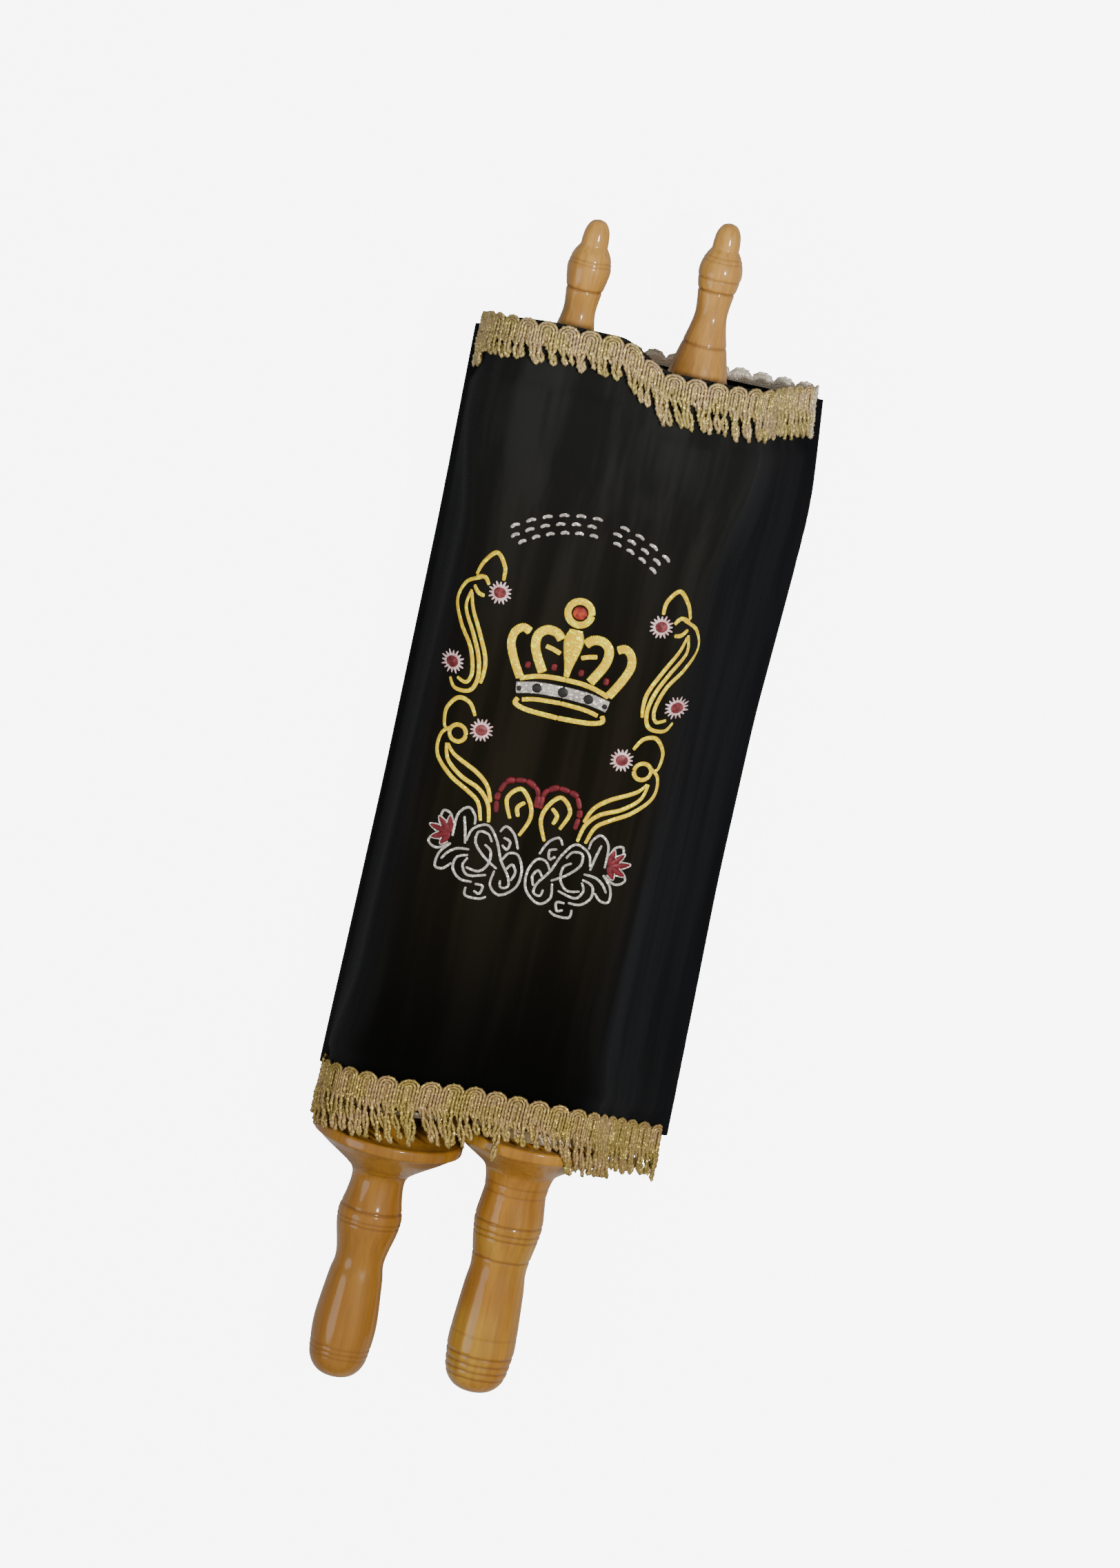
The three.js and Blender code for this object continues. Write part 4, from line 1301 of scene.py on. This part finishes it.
class Needle:
    """Lays stitched strokes on the finished cloth."""

    def __init__(self, cloth, stitch):
        bm = bmesh.new()
        bm.from_mesh(cloth.data)
        bmesh.ops.scale(bm, vec=(1 / MM, 1 / MM, 1 / MM), verts=bm.verts)
        self.surface = BVHTree.FromBMesh(bm)
        bm.free()
        self.stitch = stitch

    def on_cloth(self, x, along, lift):
        above = Vector((x, along_scroll(STITCH_START + along), 2 * FRONT_HEIGHT))
        spot, normal, _, _ = self.surface.ray_cast(above, Vector((0, 0, -1)))
        if normal.z < 0:
            normal = -normal
        return spot + normal * lift, normal

    def stroke(self, points, width, side=1, taper=0.0, lift=0.0):
        """A stroke along a smooth line. Its stitches show as ridges across, and taper narrows its ends."""
        line = evenly_spaced(smooth_line(points, 10), self.stitch / 2)
        widths = width if callable(width) else lambda share: width
        places = [self.on_cloth(STITCH_MIDDLE + side * x, along, lift) for x, along in line]
        last = len(places) - 1
        path = []
        for i, (spot, normal) in enumerate(places):
            share = i / last
            ahead = (places[min(i + 1, last)][0] - places[max(i - 1, 0)][0]).normalized()
            level = (Vector((0, 0, 1)) - ahead * ahead.z).normalized()
            tilt = math.atan2(normal.dot(ahead.cross(level)), normal.dot(level))
            narrow = 1 - taper * abs(2 * share - 1) ** 3
            rounded = min(1.0, 0.55 + 0.45 * min(i, last - i))
            ridge = 1.0 if i % 2 else 0.86
            path.append((spot, widths(share) / 2 * narrow * rounded * ridge, tilt))
        return path

    def both_sides(self, points, width, **shape):
        return [self.stroke(points, width, side, **shape) for side in SIDES]

    def disc(self, x, along, radius, side=1, lift=0.0):
        """A round patch: a stroke straight across whose width follows a circle."""
        def round_width(share):
            return 2 * radius * math.sqrt(max(1 - (2 * share - 1) ** 2, 0.02))

        reach = radius * 0.98
        return self.stroke([(x - reach, along), (x, along), (x + reach, along)], round_width, side, lift=lift)

    def ring(self, x, along, radius, width, side=1):
        points = []
        for i in range(13):
            angle = 2 * math.pi * i / 12
            points.append((x + radius * math.cos(angle), along + radius * math.sin(angle)))
        return self.stroke(points, width, side)

    def rays(self, x, along, inner, outer, count, width, side=1):
        paths = []
        for i in range(count):
            angle = 2 * math.pi * (i + 0.3 * side) / count
            way = Vector((math.cos(angle), math.sin(angle)))
            start = Vector((x, along)) + way * inner
            reach = (outer - inner) * (1.0 if i % 2 else 0.84)
            points = [start, start + way * reach]
            paths.append(self.stroke(points, lambda share: mix(width, width * 0.35, share), side))
        return paths


def crown_middle_width(share):
    """The crown's middle bar widens below the ball and narrows to its foot."""
    top, widest, foot = CROWN_MIDDLE_WIDTHS
    if share < CROWN_MIDDLE_WIDEST:
        return mix(top, widest, ease(share, 0.0, CROWN_MIDDLE_WIDEST))
    return mix(widest, foot, ease(share, CROWN_MIDDLE_WIDEST, 1.0))


def crown_strokes(needle):
    paths = [needle.ring(*CROWN_BALL, *CROWN_BALL_RING),
             needle.stroke(CROWN_MIDDLE, crown_middle_width, lift=0.15)]
    for width, points in CROWN_BARS:
        paths += needle.both_sides(points, width)
    return paths


def vine_strokes(needle):
    paths = [needle.ring(*VINE_CURL, LINE_WIDTH, side) for side in SIDES]
    for points in VINES:
        paths += needle.both_sides(points, LINE_WIDTH, taper=0.25)
    return paths


def band_strokes(needle):
    return needle.both_sides(CROWN_BAND, CROWN_BAND_WIDTH)


def lotus_petal(turn, reach):
    way = Vector((math.cos(math.radians(turn)), math.sin(math.radians(turn))))
    start = Vector(LOTUS_CENTRE)
    return [start, start + way * reach * 0.5, start + way * reach]


def scroll_strokes(needle):
    """The silver scrolls, and the outlines of the petals beside them."""
    paths = []
    for points in SCROLLS:
        paths += needle.both_sides(points, SCROLL_WIDTH, taper=0.15)
    for turn, reach in LOTUS_PETALS:
        root, middle, tip = lotus_petal(turn, reach)
        aside = Vector((tip.y - root.y, root.x - tip.x)).normalized() * 1.6
        paths += needle.both_sides([middle + aside, tip, middle - aside], SCROLL_WIDTH * 0.6, lift=0.1)
    return paths


def inscription_strokes(needle):
    """Rows of short dashes in two groups, on an arc over the crown."""
    paths = []
    centre_x, centre_along = INSCRIPTION_CENTRE
    for row, rise in enumerate(INSCRIPTION_ROWS):
        radius = INSCRIPTION_RADIUS + rise
        for start, end in INSCRIPTION_GROUPS:
            count = round((end - start) / DASH_TURN)
            pitch = (end - start) / count
            for i in range(count):
                middle = start + pitch * (i + (0.35 if row % 2 else 0.6))
                dash = []
                for part in (-0.3, 0.0, 0.3):
                    angle = math.radians(middle + part * pitch)
                    reach = radius + 0.5 * math.cos(part * 5)
                    dash.append((centre_x + reach * math.sin(angle), centre_along + reach * math.cos(angle)))
                paths.append(needle.stroke(dash, DASH_WIDTH, taper=0.35))
    return paths


def red_strokes(needle):
    """Overlapping dashes in two arches, and the petals and the jewels."""
    paths = []
    line = evenly_spaced(smooth_line(RED_ARCH, 10), 0.25)
    last = len(line) - 1
    for i in range(RED_DASHES):
        start = round(last * i / RED_DASHES)
        end = min(round(last * (i + 1.02) / RED_DASHES), last)
        aside = Vector((0, 0.45 if i % 2 else -0.25))
        dash = [line[start] + aside, line[(start + end) // 2], line[end] - aside]
        paths += needle.both_sides(dash, RED_DASH_WIDTHS[i % 2], taper=0.35, lift=0.1 * (i % 2))
    for turn, reach in LOTUS_PETALS:
        paths += needle.both_sides(lotus_petal(turn, reach), PETAL_WIDTH, taper=0.75)
    for x, along in JEWELS:
        jewel = [(x, along - JEWEL_REACH), (x, along), (x, along + JEWEL_REACH)]
        paths += needle.both_sides(jewel, 2.4, taper=0.3, lift=0.3)
    return paths


def heart_strokes(needle):
    return [needle.disc(*flower, HEART_RADIUS, side, lift=0.2) for flower in FLOWERS for side in SIDES]


def flower_strokes(needle):
    paths = []
    for x, along in FLOWERS:
        for side in SIDES:
            paths += needle.rays(x, along, *FLOWER_RAYS, side)
            paths.append(needle.ring(x, along, *FLOWER_RING, side))
    return paths


def ball_strokes(needle):
    return [needle.disc(*CROWN_BALL, CROWN_BALL_RADIUS, lift=0.3)]


def stone_strokes(needle):
    paths = []
    for x, along, size in STONES:
        for side in SIDES if x else SIDES[:1]:
            paths.append(needle.disc(x, along, size / 2, side, lift=0.55))
    return paths


class SCROLL_OT_embroider(bpy.types.Operator):
    """Embroiders the crown, the vines and the scrolls on the front of the mantle"""

    bl_idname = "scroll.embroider"
    bl_label = "Embroider"

    def execute(self, context):
        colours = context.scene.scroll_stitches
        cloth = bpy.data.objects["mantle_velvet"]
        needle = Needle(cloth, colours.stitch_length / MM)
        domed = stitch_section("domed_stitches", flatness=0.5)
        flat = stitch_section("flat_stitches", flatness=0.22)
        gold = metal_thread("stitch_gold", colours.gold_colour, colours.deep_gold_colour,
                            metallic=0.15, roughness=0.45, glint_share=0.2)
        silver = metal_thread("stitch_silver", colours.silver_colour, colours.dull_silver_colour,
                              metallic=0.3, roughness=0.5, glint_share=0.2)
        red = soft_thread("stitch_red", colours.red_colour, colours.wine_colour)
        heart = soft_thread("stitch_heart", colours.heart_colour, colours.wine_colour)
        pale = soft_thread("stitch_pale", colours.pale_colour, colours.rose_colour)
        orange = soft_thread("stitch_orange", colours.orange_colour, colours.red_colour)
        dark = soft_thread("stitch_dark", colours.dark_colour, colours.dark_colour)
        work = (
            ("crown_gold", crown_strokes, flat, gold),
            ("vines_gold", vine_strokes, domed, gold),
            ("crown_band", band_strokes, flat, silver),
            ("silver_scrolls", scroll_strokes, domed, silver),
            ("inscription_strokes", inscription_strokes, domed, silver),
            ("red_petals", red_strokes, domed, red),
            ("flower_hearts", heart_strokes, flat, heart),
            ("flower_edges", flower_strokes, domed, pale),
            ("crown_ball", ball_strokes, flat, orange),
            ("crown_stones", stone_strokes, flat, dark),
        )
        sewn = [bpy.data.objects[trim.name] for trim in TRIMS]
        for name, strokes, section, thread in work:
            piece = swept(name, strokes(needle), section, thread, twist_mode="Z_UP")
            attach(piece, BODY)
            sewn.append(piece)
        return {"FINISHED"}


# Stage

LOOK_AT = Vector((-1.1, 17.1, 57.0)) * MM
FLOOR_DROP = 0.6 * MM
KEY_LIGHT_AT = (0.95, 0.35, 2.0)
KEY_LIGHT_SIZE = 0.22
SIDE_LIGHT_AT = (-1.6, -0.6, 1.5)
SIDE_LIGHT_SIZE = 1.2
SIDE_LIGHT_SHARE = 0.3


def added_light(name, spot, size, power):
    lamp = bpy.data.lights.new(name, "AREA")
    lamp.shape = "DISK"
    lamp.size = size
    lamp.energy = power
    light = bpy.data.objects.new(name, lamp)
    light.location = spot
    light.rotation_euler = (-Vector(spot)).to_track_quat("-Z", "Y").to_euler()
    bpy.context.collection.objects.link(light)


def soft_sky(settings):
    """Soft light overhead that weakens towards the sides and leaves turned edges dark. It is seen white."""
    sky = bpy.data.worlds.new("soft_sky")
    sky.use_nodes = True
    tree = sky.node_tree
    way = tree.nodes.new("ShaderNodeTexCoord").outputs["Generated"]
    height = place(tree, "ShaderNodeSeparateXYZ", Vector=way).outputs["Z"]
    strength = ramp(tree, height, 0.05, 0.8, settings.horizon_strength, settings.sky_strength)
    background = tree.nodes["Background"].inputs
    background["Color"].default_value = (1, 1, 1, 1)
    seen = tree.nodes.new("ShaderNodeLightPath").outputs["Is Camera Ray"]
    glow = math_node(tree, "MULTIPLY", seen, settings.glow)
    tree.links.new(math_node(tree, "MAXIMUM", strength, glow), background["Strength"])
    return sky


def white_floor(settings):
    """A floor that the camera sees white while it throws back little light."""
    white, tree, shader, where = new_material("white_floor", Roughness=0.9, Specular_IOR_Level=0.1)
    tint = use_group(tree, "soft_mottle", Vector=where, Scale=3.0, First=rgba(settings.floor_colour),
                     Second=rgba(settings.floor_colour, 0.97))
    tree.links.new(tint.outputs["Color"], shader.inputs["Base Color"])
    shader.inputs["Emission Color"].default_value = (1, 1, 1, 1)
    seen = tree.nodes.new("ShaderNodeLightPath").outputs["Is Camera Ray"]
    tree.links.new(math_node(tree, "MULTIPLY", seen, settings.glow), shader.inputs["Emission Strength"])
    return white


class SCROLL_OT_set_stage(bpy.types.Operator):
    """Lays the white floor and places the camera and the lights"""

    bl_idname = "scroll.set_stage"
    bl_label = "Set stage"

    def execute(self, context):
        settings = context.scene.scroll_stage
        bm = bmesh.new()
        bmesh.ops.create_grid(bm, x_segments=2, y_segments=2, size=settings.floor_size / 2)
        bmesh.ops.translate(bm, vec=(0, 0, -FLOOR_DROP), verts=bm.verts)
        mesh = bpy.data.meshes.new("floor")
        bm.to_mesh(mesh)
        bm.free()
        add_to_scene("floor", mesh, white_floor(settings))
        context.scene.world = soft_sky(settings)
        added_light("key_light", KEY_LIGHT_AT, KEY_LIGHT_SIZE, settings.key_power)
        added_light("side_light", SIDE_LIGHT_AT, SIDE_LIGHT_SIZE, settings.key_power * SIDE_LIGHT_SHARE)

        camera = bpy.data.objects.new("camera", bpy.data.cameras.new("camera"))
        context.collection.objects.link(camera)
        distance = settings.camera_distance
        camera.data.lens = camera.data.sensor_width * distance / settings.view_height
        tilt = settings.camera_tilt
        roll = settings.camera_roll
        back = Vector((0, math.sin(tilt), math.cos(tilt)))
        level = Vector((1, 0, 0))
        straight = Vector((0, math.cos(tilt), -math.sin(tilt)))
        upright = straight * math.cos(roll) - level * math.sin(roll)
        right = level * math.cos(roll) + straight * math.sin(roll)
        turn = Matrix((right, upright, back)).transposed().to_4x4()
        camera.matrix_world = Matrix.Translation(LOOK_AT + back * distance) @ turn
        context.scene.camera = camera
        return {"FINISHED"}


class VIEW3D_PT_scroll(bpy.types.Panel):
    """The scroll's settings and the steps of its making"""

    bl_label = "Dressed scroll"
    bl_idname = "VIEW3D_PT_scroll"
    bl_space_type = "VIEW_3D"
    bl_region_type = "UI"
    bl_category = "Scroll"

    def draw(self, context):
        for step in STEPS:
            self.layout.operator(step.bl_idname)
        for label in SETTINGS:
            box = self.layout.box()
            group = getattr(context.scene, label)
            for key in group.__annotations__:
                box.prop(group, key)


SETTINGS = {
    "scroll_rollers": ScrollRollerSettings,
    "scroll_parchment": ScrollParchmentSettings,
    "scroll_mantle": ScrollMantleSettings,
    "scroll_trim": ScrollTrimSettings,
    "scroll_stitches": ScrollStitchSettings,
    "scroll_stage": ScrollStageSettings,
}
STEPS = (
    SCROLL_OT_turn_rollers,
    SCROLL_OT_wind_parchment,
    SCROLL_OT_sew_mantle,
    SCROLL_OT_sew_trims,
    SCROLL_OT_embroider,
    SCROLL_OT_set_stage,
)


def register():
    for settings in SETTINGS.values():
        bpy.utils.register_class(settings)
    for label, settings in SETTINGS.items():
        setattr(bpy.types.Scene, label, bpy.props.PointerProperty(type=settings))
    for step in STEPS:
        bpy.utils.register_class(step)
    bpy.utils.register_class(VIEW3D_PT_scroll)


def unregister():
    bpy.utils.unregister_class(VIEW3D_PT_scroll)
    for step in reversed(STEPS):
        bpy.utils.unregister_class(step)
    for label, settings in SETTINGS.items():
        delattr(bpy.types.Scene, label)
        bpy.utils.unregister_class(settings)


def main():
    register()
    for make_group in (streaks_group, mottle_group, glints_group):
        make_group()
    bpy.ops.scroll.turn_rollers()
    bpy.ops.scroll.wind_parchment()
    bpy.ops.scroll.sew_mantle()
    bpy.ops.scroll.sew_trims()
    bpy.ops.scroll.embroider()
    bpy.ops.scroll.set_stage()


if __name__ == "__main__":
    main()
